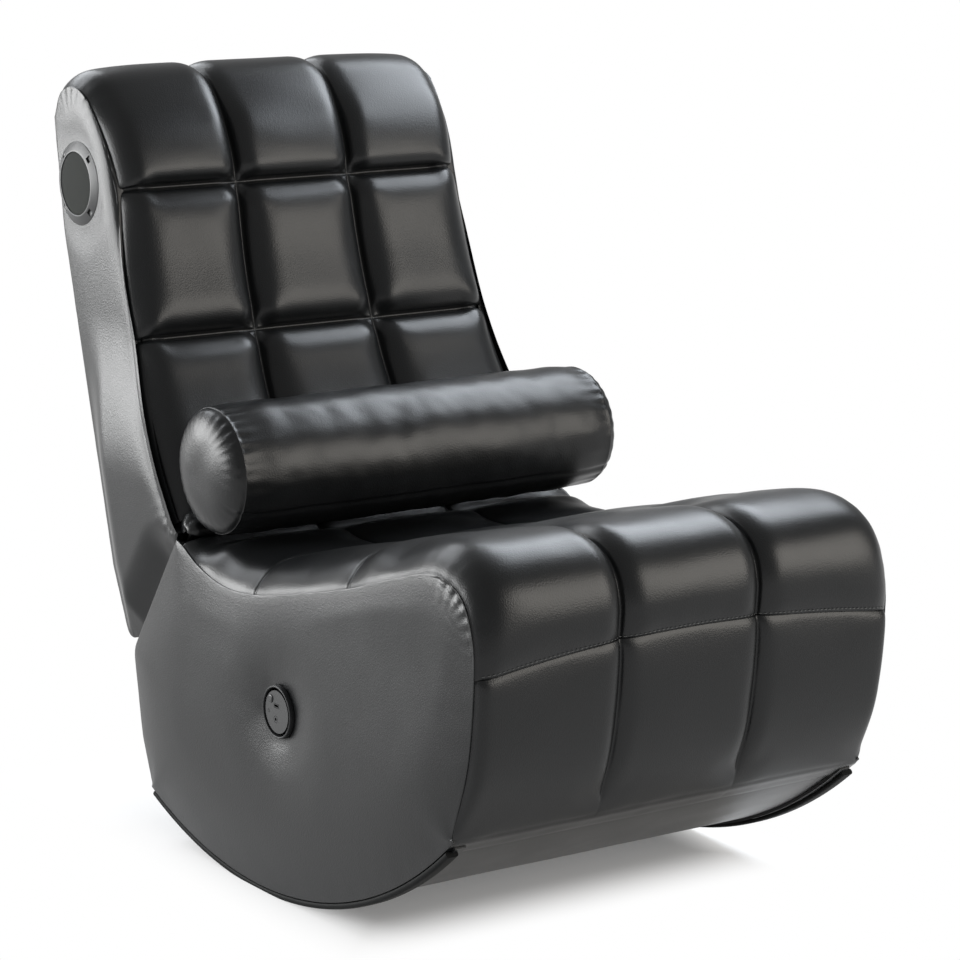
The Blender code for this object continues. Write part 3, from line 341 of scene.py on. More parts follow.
HEEL_TOP = Vector(REAR_TOP) + FOLD_GAP * SLOPE_OUT
HEEL_FRONT = Vector(REAR_TOP) + HEEL_LENGTH * SLOPE + FOLD_GAP * SLOPE_OUT
HEEL_CORNERS = [
    *round_corner(BACK_REAR_LOW, HEEL, HEEL_FRONT, HEEL_R), *round_corner(HEEL, HEEL_FRONT, HEEL_TOP, HEEL_R),
]
HEEL_LINE = SideLine(
    [BACK_REAR_TOP, BACK_REAR_HIGH, BACK_REAR_LOW, *HEEL_CORNERS, HEEL_TOP], smooth=False)
SEAM_D = BASE_LINE.where(FRONT_SEAM)
# Sewn lines of the seat: across it, and along the side view
SEAT_LINES = COLUMNS * SEAT_HALF
SEAT_BREAKS = [SEAM_D, BASE_LINE.where(SEAT_SEAM_FRONT), BASE_LINE.where(SEAT_SEAM_REAR), BASE_LINE.length]
# The front panel's line also turns in under the base.
FRONT_LINE = SideLine([
    rocker(ROCKER_FRONT - 0.055, UNDERSIDE_RISE - 0.0004), rocker(ROCKER_FRONT - 0.022, UNDERSIDE_RISE - 0.0002),
    rocker(ROCKER_FRONT - 0.003, RAIL_H - 0.002), FRONT_BELLY, FRONT_SEAM, ROLL_FRONT, ROLL_SHOULDER, ROLL_TOP,
])


def head_drop(distance):
    """How far the back's side seam dips below the side view's line round the head."""
    start, top = BACK_LINE.where(BACK_SEAM_HIGH), BACK_LINE.where(HEAD_BROW)
    return 0.007 * eased((distance - start) / (top - start))


def back_half(distance):
    """The back's half width at its side seam."""
    return np.interp(distance, [BACK_LINE.where(knot) for knot in BACK_KNOTS], BACK_HALVES)


# Meshes

def grid_faces(rows, columns, start=0):
    """Four-sided faces over a grid of points."""
    index = start + np.arange(rows * columns).reshape(rows, columns)
    corners = (index[:-1, :-1], index[:-1, 1:], index[1:, 1:], index[1:, :-1])
    return np.stack(corners, -1).reshape(-1, 4)


def grid_normals(points):
    """Unit normals of a grid of points."""
    along, across = np.gradient(points, axis=0), np.gradient(points, axis=1)
    normals = np.cross(across, along)
    return normals / np.maximum(np.linalg.norm(normals, axis=-1, keepdims=True), 1e-12)


def raised(points, detail):
    """A grid of points, moved along its normals."""
    return points + grid_normals(points) * detail[..., None]


def new_object(name, points, faces):
    """A mesh object at the origin."""
    mesh = bpy.data.meshes.new(name)
    mesh.from_pydata(points.tolist(), [], faces if isinstance(faces, list) else faces.tolist())
    mesh.update()
    obj = bpy.data.objects.new(name, mesh)
    bpy.context.scene.collection.objects.link(obj)
    return obj


def face_outward(obj):
    """Merges doubled points and turns a closed piece's faces out."""
    work = bmesh.new()
    work.from_mesh(obj.data)
    bmesh.ops.remove_doubles(work, verts=work.verts, dist=0.00002)
    bmesh.ops.recalc_face_normals(work, faces=work.faces)
    if work.calc_volume(signed=True) < 0:
        bmesh.ops.reverse_faces(work, faces=work.faces)
    work.to_mesh(obj.data)
    work.free()


def pick(obj):
    """Makes one object the only selected and active one."""
    bpy.ops.object.select_all(action="DESELECT")
    obj.select_set(True)
    bpy.context.view_layer.objects.active = obj


def primitive(add, **settings):
    """Adds one primitive as the only selected object."""
    bpy.ops.object.select_all(action="DESELECT")
    add(**settings)
    return bpy.context.active_object


def smooth_by_angle(obj, degrees=35.0):
    """Smooth shading that keeps the sharper edges."""
    pick(obj)
    bpy.ops.object.shade_smooth_by_angle(angle=math.radians(degrees))


def apply_step(obj, kind, **settings):
    """Adds a modifier, sets it and applies it."""
    step = obj.modifiers.new(kind.lower(), kind)
    for key, value in settings.items():
        setattr(step, key, value)
    pick(obj)
    bpy.ops.object.modifier_apply(modifier=step.name)


def subdivided(obj):
    """Rounds a mesh by one level of subdivision."""
    apply_step(obj, "SUBSURF", levels=1, render_levels=1)
    obj.data.shade_smooth()
    return obj


def closed_pad(name, outer, inner):
    """A closed pad from two grids of points, its outer and its inner face, with a crisp edge on the outer one."""
    rows, columns = outer.shape[:2]
    count = rows * columns
    index = np.arange(count).reshape(rows, columns)
    rim = np.concatenate([index[0, :-1], index[:-1, -1], index[-1, :0:-1], index[:0:-1, 0]])
    outer, inner = outer.reshape(-1, 3), inner.reshape(-1, 3)
    wall = inner[rim] - outer[rim]
    below = outer[rim] + wall * np.minimum(0.3, 0.001 / np.linalg.norm(wall, axis=1, keepdims=True))
    rings = [rim, 2 * count + np.arange(len(rim)), rim + count]
    faces = [grid_faces(rows, columns), grid_faces(rows, columns, count)[:, ::-1]]
    for high, low in zip(rings, rings[1:]):
        faces.append(np.stack([np.roll(high, -1), high, low, np.roll(low, -1)], -1))
    obj = new_object(name, np.vstack([outer, inner, below]), np.vstack(faces))
    face_outward(obj)
    return subdivided(obj)


def settled(points, sewn, sizes, cap, spare=0.0, soften=3):
    """Lets the cover of a pad settle over its filling: cloth under pressure, held along its sewn lines.

    The cover is cut larger by the share `spare`. No point moves further than `cap`, and folds finer than the
    filling allows are evened out `soften` times.
    """
    scene = bpy.context.scene
    obj = new_object("settling_cover", points.reshape(-1, 3), grid_faces(*points.shape[:2]))
    held = obj.vertex_groups.new(name="sewn")
    held.add(np.flatnonzero(sewn.reshape(-1)).tolist(), 1.0, "REPLACE")
    step = obj.modifiers.new("settle", "CLOTH")
    step.point_cache.frame_start = 1
    step.point_cache.frame_end = sizes.settle_frames
    cloth = step.settings
    cloth.vertex_group_mass = "sewn"
    cloth.quality = 5
    cloth.mass = 0.3
    cloth.tension_stiffness = cloth.compression_stiffness = 15.0
    cloth.shear_stiffness = 6.0
    cloth.bending_stiffness = 0.6
    cloth.use_pressure = True
    cloth.uniform_pressure_force = sizes.pressure
    cloth.shrink_min = -spare
    cloth.effector_weights.gravity = 0.0
    for number in range(1, sizes.settle_frames + 1):
        scene.frame_set(number)
    result = obj.evaluated_get(bpy.context.evaluated_depsgraph_get()).data
    moved = np.empty(len(result.vertices) * 3, np.float32)
    result.vertices.foreach_get("co", moved)
    move = moved.reshape(points.shape).astype(float) - points
    length = np.linalg.norm(move, axis=-1, keepdims=True)
    scene.frame_set(1)
    bpy.data.objects.remove(obj, do_unlink=True)
    move = move * np.minimum(1.0, cap / np.maximum(length, 1e-9))
    for _ in range(soften):
        wide = np.pad(move, ((1, 1), (1, 1), (0, 0)), mode="edge")
        move = (4 * move + wide[2:, 1:-1] + wide[:-2, 1:-1] + wide[1:-1, 2:] + wide[1:-1, :-2]) / 8
        move[sewn] = 0.0
    return points + move


def gathers(along, gap, reach, sizes, seed):
    """Puckers along a seam: `along` it, and `gap` away from it."""
    wander = 0.9 * np.sin(along / 0.017 + seed) + 0.7 * np.sin(along / 0.041 + 2.1 * seed)
    wave = 0.5 - 0.5 * np.cos(2 * math.pi * along / sizes.gather_length + wander)
    uneven = 0.65 + 0.35 * np.sin(along / 0.023 + 1.7 * seed)
    return -sizes.gather_depth * wave * uneven * np.exp(-gap / reach) * eased(gap / 0.003)


def finished(obj, body, material, nodes):
    """Gives a new piece its finish, its body and the nodes that it stands for."""
    obj.data.materials.clear()
    obj.data.materials.append(material)
    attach(obj, body)
    if nodes:
        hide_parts(*nodes)
    return obj


def upholstered(settings, obj, body, nodes):
    """Finishes a soft piece in faux leather."""
    return finished(obj, body, faux_leather(settings.colours), nodes)


# Materials

def linear(hex_colour):
    """sRGB hex to linear RGBA."""
    parts = [int(hex_colour[place:place + 2], 16) / 255 for place in (1, 3, 5)]
    return (*(p / 12.92 if p <= 0.04045 else ((p + 0.055) / 1.055) ** 2.4 for p in parts), 1.0)


def add_node(tree, kind, settings=None, links=None):
    """Adds one node, with its settings by property or socket name and its inputs linked."""
    node = tree.nodes.new(kind)
    for key, value in (settings or {}).items():
        if isinstance(key, str) and hasattr(node, key):
            setattr(node, key, value)
        else:
            node.inputs[key].default_value = value
    for key, (source, output) in (links or {}).items():
        tree.links.new(source.outputs[output], node.inputs[key])
    return node


def blank_material(name):
    """A new material with its tree, shader and coordinates, or only the material if it exists already."""
    material = bpy.data.materials.get(name)
    if material:
        return material, None, None, None
    material = bpy.data.materials.new(name)
    material.use_nodes = True
    tree = material.node_tree
    shader = tree.nodes["Principled BSDF"]
    place = add_node(tree, "ShaderNodeTexCoord")
    return material, tree, shader, place


def texture(tree, place, kind, settings):
    """Adds a texture in object coordinates."""
    return add_node(tree, "ShaderNodeTex" + kind, settings, {"Vector": (place, "Object")})


def set_inputs(node, values):
    """Sets a node's inputs by name."""
    for key, value in values.items():
        node.inputs[key].default_value = value


def link(tree, source, output, shader, socket):
    """Links an output to one of the shader's sockets."""
    tree.links.new(source.outputs[output], shader.inputs[socket])


def two_tone(tree, shader, source, output, dark, light):
    """A base colour that runs from dark to light with a node's value."""
    tint = add_node(tree, "ShaderNodeMix", {"data_type": "RGBA", 6: dark, 7: light}, {"Factor": (source, output)})
    link(tree, tint, "Result", shader, "Base Color")


def embossed(tree, shader, source, output, strength, depth):
    """A fine relief from a node's value."""
    bump = add_node(tree, "ShaderNodeBump", {"Strength": strength, "Distance": depth}, {"Height": (source, output)})
    link(tree, bump, "Normal", shader, "Normal")


def uneven_gloss(tree, shader, source, low, high):
    """A roughness that runs from low to high with a noise."""
    gloss = add_node(tree, "ShaderNodeMapRange", {"To Min": low, "To Max": high}, {"Value": (source, "Fac")})
    link(tree, gloss, "Result", shader, "Roughness")


def dimmed(colour, share):
    """A colour at a share of its brightness."""
    return tuple(share * part for part in colour[:3]) + (1.0,)


def faux_leather(colours):
    """Coated faux leather, embossed with a fine pebble: a satin black whose highlights break up softly."""
    material, tree, shader, place = blank_material("faux_leather")
    if tree is None:
        return material
    # A pebble is about 0.8 mm; it is drawn at 1.4 mm so that it shows at all.
    pebble = texture(tree, place, "Voronoi", {"Scale": 1 / 0.0014, "Randomness": 1.0})
    crease = texture(tree, place, "Noise", {"Scale": 1 / 0.004, "Detail": 3.0, "Roughness": 0.6})
    mixed = add_node(tree, "ShaderNodeMath", {"operation": "MULTIPLY_ADD", 1: 0.35},
                     {0: (crease, "Fac"), 2: (pebble, "Distance")})
    embossed(tree, shader, mixed, "Value", 0.22, 0.0004)
    # Rubbing and stretching change the gloss in patches of a few centimetres.
    patches = texture(tree, place, "Noise", {"Scale": 1 / 0.045, "Detail": 4.0, "Roughness": 0.55})
    uneven_gloss(tree, shader, patches, 0.27, 0.37)
    base = linear(colours.leatherette)
    two_tone(tree, shader, patches, "Fac", dimmed(base, 0.85), dimmed(base, 1.15))
    set_inputs(shader, {"IOR": 1.5, "Specular IOR Level": 0.32})
    return material


def moulded(name, hex_colour, roughness, grain_mm, strength, gloss_level=0.5):
    """Injection-moulded plastic or extruded trim with a fine spark-eroded grain: an even, soft gloss."""
    material, tree, shader, place = blank_material(name)
    if tree is None:
        return material
    grain = texture(tree, place, "Noise", {"Scale": 1000.0 / grain_mm, "Detail": 2.0})
    embossed(tree, shader, grain, "Fac", strength, 0.0002)
    uneven_gloss(tree, shader, grain, roughness - 0.05, roughness + 0.05)
    set_inputs(shader, {"Base Color": linear(hex_colour), "Specular IOR Level": gloss_level})
    return material


def woven(name, hex_colour, thread_mm, roughness):
    """A plain weave of matt yarn: two crossed rows of rounded threads, with painted shade where the threads dip."""
    material, tree, shader, place = blank_material(name)
    if tree is None:
        return material
    # A wave texture has one band in pi / 10 of a unit at scale 1.
    scale = math.pi / 10 * 1000.0 / thread_mm
    rows = [texture(tree, place, "Wave", {"bands_direction": axis, "Scale": scale, "Distortion": 0.4})
            for axis in ("Y", "Z")]
    height = add_node(tree, "ShaderNodeMath", {"operation": "MULTIPLY"},
                      {0: (rows[0], "Fac"), 1: (rows[1], "Fac")})
    embossed(tree, shader, height, "Value", 0.5, 0.0003)
    base = linear(hex_colour)
    # The colour falls to 0.6 of the yarn's where the weave dips: painted shade between the threads.
    two_tone(tree, shader, height, "Value", dimmed(base, 0.6), base)
    set_inputs(shader, {"Roughness": roughness, "Specular IOR Level": 0.15})
    return material


def banded(name, light, dark, band_mm, roughness, axis):
    """Rotary-cut veneer or pressed fibre: streaks of two shades along the board."""
    material, tree, shader, place = blank_material(name)
    if tree is None:
        return material
    streaks = texture(tree, place, "Wave", {
        "bands_direction": axis, "Scale": 1000.0 / band_mm / 6.28, "Distortion": 6.0, "Detail": 3.0,
        "Detail Scale": 1.5})
    two_tone(tree, shader, streaks, "Fac", linear(dark), linear(light))
    embossed(tree, shader, streaks, "Fac", 0.15, 0.0003)
    set_inputs(shader, {"Roughness": roughness})
    return material


def moulding(colours):
    """The plastic of the bezels and of the frame's own mouldings."""
    return moulded("moulded_abs", colours.moulding, 0.42, 0.7, 0.15)


def grille_cloth(colours):
    """The speakers' cloth."""
    return woven("woven_grille_cloth", colours.grille, 0.9, 0.85)


def plated_steel():
    """Zinc-plated pressed steel: a cool metal with a cloudy gloss."""
    material, tree, shader, place = blank_material("zinc_plated_steel")
    if tree is None:
        return material
    clouds = texture(tree, place, "Noise", {"Scale": 1 / 0.006, "Detail": 4.0})
    uneven_gloss(tree, shader, clouds, 0.28, 0.44)
    set_inputs(shader, {"Base Color": linear("#b9bbbd"), "Metallic": 1.0})
    return material


def lamp_lens():
    """A grey, faintly milky light guide."""
    material, tree, shader, place = blank_material("light_guide")
    if tree is None:
        return material
    milk = texture(tree, place, "Noise", {"Scale": 1 / 0.0008})
    uneven_gloss(tree, shader, milk, 0.12, 0.2)
    set_inputs(shader, {"Base Color": linear("#7d8487")})
    return material


# Upholstery

def thread_line(gap, depth):
    """The narrow drawn-in line of a seam."""
    return -depth * np.exp(-(gap / 0.0016) ** 2)


def back_cushion(settings):
    """The quilted front and head of the back."""
    sizes = settings.sizes
    breaks = [0.0, BACK_LINE.where(BACK_SEAM_LOW), BACK_LINE.where(BACK_SEAM_HIGH), BACK_LINE.length]
    shares = stations(COLUMNS * BACK_HALF, 0.0062) / BACK_HALF
    share, along = np.meshgrid(shares, stations(breaks, 0.0062))
    half = back_half(along)
    x = share * half
    column_gap = nearest_line(share, COLUMNS) * half
    inner_gap = nearest_line(share, COLUMNS[1:3]) * half
    side_gap = (1.0 - np.abs(share)) * half
    row_gap = np.minimum(nearest_line(along, breaks[1:]), 0.012 + along)
    head = eased((along - BACK_LINE.where(HEAD_FRONT)) / 0.05)
    taut = 1.0 - 0.55 * head
    swell = pillow((inner_gap, 0.021), (row_gap + 0.010 * (1 - np.clip(side_gap / 0.03, 0.0, 1.0)),
                                         np.where(along > breaks[2], 0.015, 0.022)),
                   (side_gap, 0.024)) * taut
    out = 0.006 * rounded_rise(side_gap, 0.03) - head_drop(along) * np.abs(share) ** 6
    out += sizes.back_puff * swell
    points = room(x, BACK_LINE.beside(along, out))
    sewn = (column_gap < SEWN) | (nearest_line(along, breaks) < SEWN)
    points = settled(points, sewn, sizes, cap=0.0025)
    detail = thread_line(np.minimum(inner_gap, nearest_line(along, breaks[1:3])), sizes.seam_depth)
    detail += thread_line(side_gap, 0.001)
    detail += head * gathers(along, side_gap, 0.012, sizes, 1.3)
    over_brow = eased((along - BACK_LINE.where(HEAD_BROW)) / 0.02)
    detail += 0.5 * over_brow * gathers(along, inner_gap, 0.007, sizes, 4.1)
    detail += 0.0005 * cloudy(points, 0.05, 1) * swell
    points = dented(raised(points, detail))
    inner = room(x * 0.985, BACK_LINE.beside(along, -0.020))
    obj = closed_pad("back_cushion_cover", points, inner)
    return upholstered(settings, obj, "back", ["back_cushion"])


def lapped(x):
    """The same places across the seat, but with the outermost ones a little further out."""
    return np.where(np.abs(x) > SEAT_HALF - 1e-6, x * (1.0 + SEAM_LAP / SEAT_HALF), x)


def seam_slide(x, along):
    """How far the sewn line across the front, and what lies beside it, arches up at x."""
    near = np.clip(1.0 - np.abs(along - SEAM_D) / 0.040, 0.0, 1.0)
    return 0.017 * near * (1.0 - (x / SEAT_HALF) ** 2)


def seat_swell(x, along):
    """Fullness of the seat's cells: nearly flat beside the stitched front seam, drawn in at the others."""
    cells = pillow((nearest_line(x, SEAT_LINES[1:3]), 0.024), (nearest_line(along, SEAT_BREAKS[1:3]), 0.034),
                   (SEAT_HALF - np.abs(x), 0.022))
    flatter = 1.0 - 0.75 * eased((along - BASE_LINE.where(ROLL_BACK)) / 0.08)
    return cells * flatter * (0.62 + 0.38 * rounded_rise(along - SEAM_D, 0.022))


def seat_crown(x, along):
    """How far the seat rises over its side seams: not at all at the front seam, fully from the roll's top."""
    height = 0.014 * eased((along - SEAM_D) / 0.085) + 0.013 * eased((along - BASE_LINE.where(ROLL_BACK)) / 0.06)
    # It sinks again towards the hinge, where the folded back needs room.
    height = height * (1.0 - 0.85 * eased((along - BASE_LINE.length + 0.055) / 0.045))
    return height * rounded_rise(SEAT_HALF - np.abs(x), 0.045)


def bolster_axis():
    """Where the bolster lies, as (y, z) in the room."""
    low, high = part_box("bolster_roll")
    return np.array([(low.y + high.y) / 2, (low.z + high.z) / 2])


def dented(points):
    """The points of a pad, pressed in where the bolster lies on it."""
    offset = points[..., 1:] - bolster_axis()
    distance = np.linalg.norm(offset, axis=-1)
    push = np.clip(BOLSTER_R + 0.0025 - distance, 0.0, None) * eased((0.216 - np.abs(points[..., 0])) / 0.012)
    pressed = points.copy()
    pressed[..., 1:] += offset * (push / distance)[..., None]
    return pressed


def seat_cushion(settings):
    """The seat with its front roll."""
    sizes = settings.sizes
    x, along = np.meshgrid(stations(SEAT_LINES, 0.0064), stations(SEAT_BREAKS, 0.0064))
    column_gap = nearest_line(x, SEAT_LINES)
    inner_gap = nearest_line(x, SEAT_LINES[1:3])
    side_gap = SEAT_HALF - np.abs(x)
    row_gap = nearest_line(along, SEAT_BREAKS)
    swell = seat_swell(x, along)
    out = seat_crown(x, along) + sizes.seat_puff * swell
    # Its edges lap a little over the pads beside it, so that no slit shows.
    slid = along + seam_slide(x, along) - SEAM_LAP * (along < SEAM_D + 1e-6)
    points = room(lapped(x), BASE_LINE.beside(slid, out))
    sewn = (column_gap < SEWN) | (row_gap < SEWN)
    points = settled(points, sewn, sizes, cap=0.004, spare=0.002)
    roll = 1.0 - eased((along - BASE_LINE.where(ROLL_TOP)) / 0.06)
    seam_gap = np.minimum(inner_gap, nearest_line(along, SEAT_BREAKS[1:3]))
    detail = thread_line(seam_gap, sizes.seam_depth) * (0.5 + 0.5 * roll)
    detail += thread_line(side_gap, 0.0012) + thread_line(along - SEAM_D, 0.0007)
    detail += roll * gathers(along, side_gap, 0.012, sizes, 2.2)
    detail += 0.0006 * cloudy(points, 0.045, 2) * swell
    points = dented(raised(points, detail))
    inner = room(x * 0.97, BASE_LINE.beside(slid, -0.022))
    obj = closed_pad("seat_cushion_cover", points, inner)
    return upholstered(settings, obj, "base", ["seat_cushion"])


def front_panel(settings):
    """The padded front below the roll, whose column seams run out above its soft lower crease."""
    sizes = settings.sizes
    tucked = FRONT_LINE.where(FRONT_SEAM) - SEAM_D
    x, along = np.meshgrid(stations(SEAT_LINES, 0.0062), stations([-tucked, 0.0, SEAM_D], 0.006))
    inner_gap = nearest_line(x, SEAT_LINES[1:3])
    side_gap = SEAT_HALF - np.abs(x)
    sewn_in = eased((along - 0.006) / 0.022)
    columns = 1 - 0.75 * sewn_in * (1 - rounded_rise(inner_gap, 0.017))
    swell = columns * rounded_rise(side_gap, 0.011) * (0.66 + 0.34 * rounded_rise(SEAM_D - along, 0.018))
    out = sizes.front_puff * swell * eased((along + 0.024) / 0.085)
    slid = along + seam_slide(x, along) + SEAM_LAP * (along > SEAM_D - 1e-6) + tucked
    points = room(lapped(x), FRONT_LINE.beside(slid, out))
    sewn = (inner_gap < SEWN) & (along > 0.014) | (side_gap < SEWN)
    sewn = sewn | (along < SEWN - tucked) | (along > SEAM_D - SEWN)
    points = settled(points, sewn, sizes, cap=0.003, spare=0.001)
    detail = thread_line(inner_gap, 0.6 * sizes.seam_depth) * eased((along - 0.012) / 0.006)
    detail += (thread_line(side_gap, 0.0012) + thread_line(SEAM_D - along, 0.0009)) * eased((along - 0.004) / 0.01)
    detail += 0.0005 * cloudy(points, 0.06, 3) * swell
    points = raised(points, detail)
    thick = np.interp(along, (-tucked, 0.0, 0.02), (0.002, 0.006, 0.022))
    inner = room(x * 0.97, FRONT_LINE.beside(slid, -thick))
    obj = closed_pad("front_panel_cover", points, inner)
    return upholstered(settings, obj, "base", ["front_pad"])


def outline_patch(bottom, top, front, rear, count_u, count_v):
    """Points of a side panel between its four edges, as (y, z), closer together near the edges."""
    def spread(count):
        share = np.linspace(0.0, 1.0, count)
        return share - 0.82 * np.sin(2 * math.pi * share) / (2 * math.pi)

    u, v = np.meshgrid(spread(count_u), spread(count_v))
    low, high = bottom.at(u * bottom.length), top.at(u * top.length)
    fore, aft = front.at(v * front.length), rear.at(v * rear.length)
    corners = [line.points[end] for line in (bottom, top) for end in (0, -1)]
    u, v = u[..., None], v[..., None]
    flat = ((1 - u) * (1 - v) * corners[0] + u * (1 - v) * corners[1]
            + (1 - u) * v * corners[2] + u * v * corners[3])
    return (1 - v) * low + v * high + (1 - u) * fore + u * aft - flat


def edge_gaps(flat, edges):
    """For each point: its distance to the outline, and the index of the nearest outline point."""
    rows = [np.linalg.norm(edges[None] - row[:, None], axis=-1) for row in flat]
    return np.array([row.min(1) for row in rows]), np.array([row.argmin(1) for row in rows])


def evenly(line, start, end, step=0.002):
    """Evenly spaced points along part of a line."""
    return line.at(np.linspace(start, end, max(2, round((end - start) / step))))


def side_lining(points, x):
    """The inner face of a side panel: its points moved to x and drawn in a little."""
    inner = points.copy()
    inner[..., 0] = x
    inner[..., 1:] = inner[..., 1:] * 0.995 + 0.005 * inner[..., 1:].mean((0, 1))
    return inner


def side_panel(settings, side, sign):
    """A padded side of the base, drawn in round the control panel on the left."""
    sizes = settings.sizes
    shoulder = BASE_LINE.where(ROLL_SHOULDER)
    bottom = SideLine(rocker_run(ROCKER_FRONT, -ROCKER_REAR, RAIL_H - 0.004), smooth=False)
    top = SideLine([*evenly(BASE_LINE, shoulder, BASE_LINE.length), REAR_TOP], smooth=False)
    front = SideLine([bottom.points[0], *evenly(BASE_LINE, 0.0, shoulder)], smooth=False)
    rear = SideLine([bottom.points[-1], *REAR_LINE.points[::-1]], smooth=False)
    flat = outline_patch(bottom, top, front, rear, 104, 64)
    edges = np.vstack([evenly(line, 0.0, line.length) for line in (front, top, rear, bottom)])
    gap, nearest = edge_gaps(flat, edges)
    from_control = np.linalg.norm(flat - np.array(CONTROL), axis=-1)
    dimple = 0.25 + 0.75 * eased((from_control - 0.022) / 0.045) if side == "left" else 1.0
    lower = eased((0.30 - flat[..., 1]) / 0.17)
    x = SEAT_HALF + 0.0013 * rounded_rise(gap, 0.010)
    x = x + (0.0012 + 0.0066 * lower) * rounded_rise(gap, 0.055 + 0.040 * lower, 2.0) * dimple
    x = np.where((side == "left") & (from_control < 0.030), np.minimum(x, BASE_HALF + 0.0002), x)
    points = room(sign * x, flat)
    facing = points if sign > 0 else points[:, ::-1]
    sewn = (gap < 0.0015) | ((from_control < 0.030) & (side == "left"))
    facing = settled(facing, sewn if sign > 0 else sewn[:, ::-1], sizes, cap=0.0015)
    points = facing if sign > 0 else facing[:, ::-1]
    along = run_marks(edges)[nearest]
    start, end = front.length - 0.075, front.length + 0.05
    strength = eased((along - start) / 0.03) * eased((end - along) / 0.03)
    detail = 1.7 * strength * gathers(0.8 * along, gap, 0.013, sizes, 3.3)
    detail += 0.0004 * cloudy(points, 0.11, 5) * eased(gap / 0.03) * eased((from_control - 0.03) / 0.05)
    if side == "left":
        turn = np.arctan2(flat[..., 1] - CONTROL[1], flat[..., 0] - CONTROL[0])
        pull = 0.5 + 0.5 * np.cos(11 * turn + 1.3 * np.sin(3 * turn))
        detail -= 0.0005 * pull * eased((from_control - 0.025) / 0.012) * np.exp(-(from_control - 0.025) / 0.022)
    points[..., 0] += sign * detail
    obj = closed_pad("side_panel_cover_" + side, points, side_lining(points, sign * (SEAT_HALF - 0.003)))
    if side == "left":
        cut_hole(obj, sign * BASE_HALF, CONTROL, CONTROL_HOLE)
    return upholstered(settings, obj, "base", ["side_pad_" + side])


def cut_hole(obj, x, point, radius):
    """Cuts a round hole along X through a piece."""
    cutter = primitive(
        bpy.ops.mesh.primitive_cylinder_add, vertices=64, radius=radius, depth=0.06,
        location=(x, HINGE_Y + point[0], point[1]), rotation=(0.0, math.pi / 2, 0.0))
    apply_step(obj, "BOOLEAN", operation="DIFFERENCE", object=cutter, solver="EXACT")
    bpy.data.objects.remove(cutter, do_unlink=True)


def back_gusset(settings, side, sign):
    """A side of the back: a flat panel round the speaker, gathered at the head's corner."""
    sizes = settings.sizes
    brow = BACK_LINE.where(HEAD_BROW)
    whole = np.linspace(0.0, BACK_LINE.length, 330)
    seam = BACK_LINE.beside(whole, 0.0015 - head_drop(whole))
    halves = back_half(whole)
    split = int(np.searchsorted(whole, brow))
    turn = len(round_corner(BACK_REAR_LOW, HEEL, HEEL_FRONT, HEEL_R)) // 2
    heel = HEEL_CORNERS[turn]
    front = SideLine(seam[:split + 1], smooth=False)
    top = SideLine(seam[split:], smooth=False)
    bottom = SideLine([seam[0], HEEL_TOP, *reversed(HEEL_CORNERS[turn:])], smooth=False)
    rear = SideLine([*reversed(HEEL_CORNERS[:turn + 1]), BACK_REAR_LOW, BACK_REAR_HIGH, seam[-1]], smooth=False)
    bottom.points[-1] = rear.points[0] = np.array(heel)
    flat = outline_patch(bottom, top, front, rear, 56, 104)
    runs = [evenly(line, 0.0, line.length) for line in (front, top, rear, bottom)]
    edges = np.vstack(runs)
    widths = np.full(len(edges), BACK_HALF)
    widths[:len(runs[0])] = np.interp(np.linspace(0.0, brow, len(runs[0])), whole, halves)
    widths[-len(runs[3]):] = np.interp(
        np.linspace(0.0, bottom.length, len(runs[3])), (0.0, 0.02, 0.08), (halves[0], halves[0], BACK_HALF))
    gap, nearest = edge_gaps(flat, edges)
    from_speaker = np.linalg.norm(flat - np.array(SPEAKER), axis=-1)
    # Low down the back widens to the base's corner, and the side turns to its seam in a soft round.
    from_rear = edge_gaps(flat, np.vstack([runs[2], runs[3][35:]]))[0]
    plane = BACK_HALF + 0.0165 * eased((0.49 - flat[..., 1]) / 0.15) * eased(from_rear / 0.05)
    inside = np.sqrt(1.0 - (1.0 - np.clip(gap / 0.020, 0.0, 1.0)) ** 2)
    x = widths[nearest] * (1 - inside) + plane * inside - 0.0008
    x = (x + 0.0008 * rounded_rise(gap, 0.004)
         + 0.0014 * rounded_rise(gap, 0.05) * eased((from_speaker - 0.043) / 0.03))
    x = np.where(from_speaker < 0.0425, np.minimum(x, BACK_HALF + 0.0001), x)
    points = room(sign * x, flat)
    marks = run_marks(edges)
    along = marks[nearest]
    corner = eased((along - brow + 0.06) / 0.04) * eased((brow + 0.075 - along) / 0.03)
    crease = eased((0.05 - along) / 0.03) + eased((along - marks[-1] + 0.03) / 0.03)
    detail = (0.6 * corner + 0.4 * crease) * gathers(0.85 * along, gap, 0.014, sizes, 5.2)
    detail *= eased((from_speaker - 0.043) / 0.02)
    detail += 0.0006 * cloudy(points, 0.09, 6) * eased(gap / 0.02) * eased((from_speaker - 0.045) / 0.03)
    points[..., 0] += sign * detail
    obj = closed_pad("back_gusset_cover_" + side, points, side_lining(points, sign * (x - 0.008)))
    cut_hole(obj, sign * BACK_HALF, SPEAKER, SPEAKER_HOLE)
    return upholstered(settings, obj, "back", ["back_gusset_" + side])


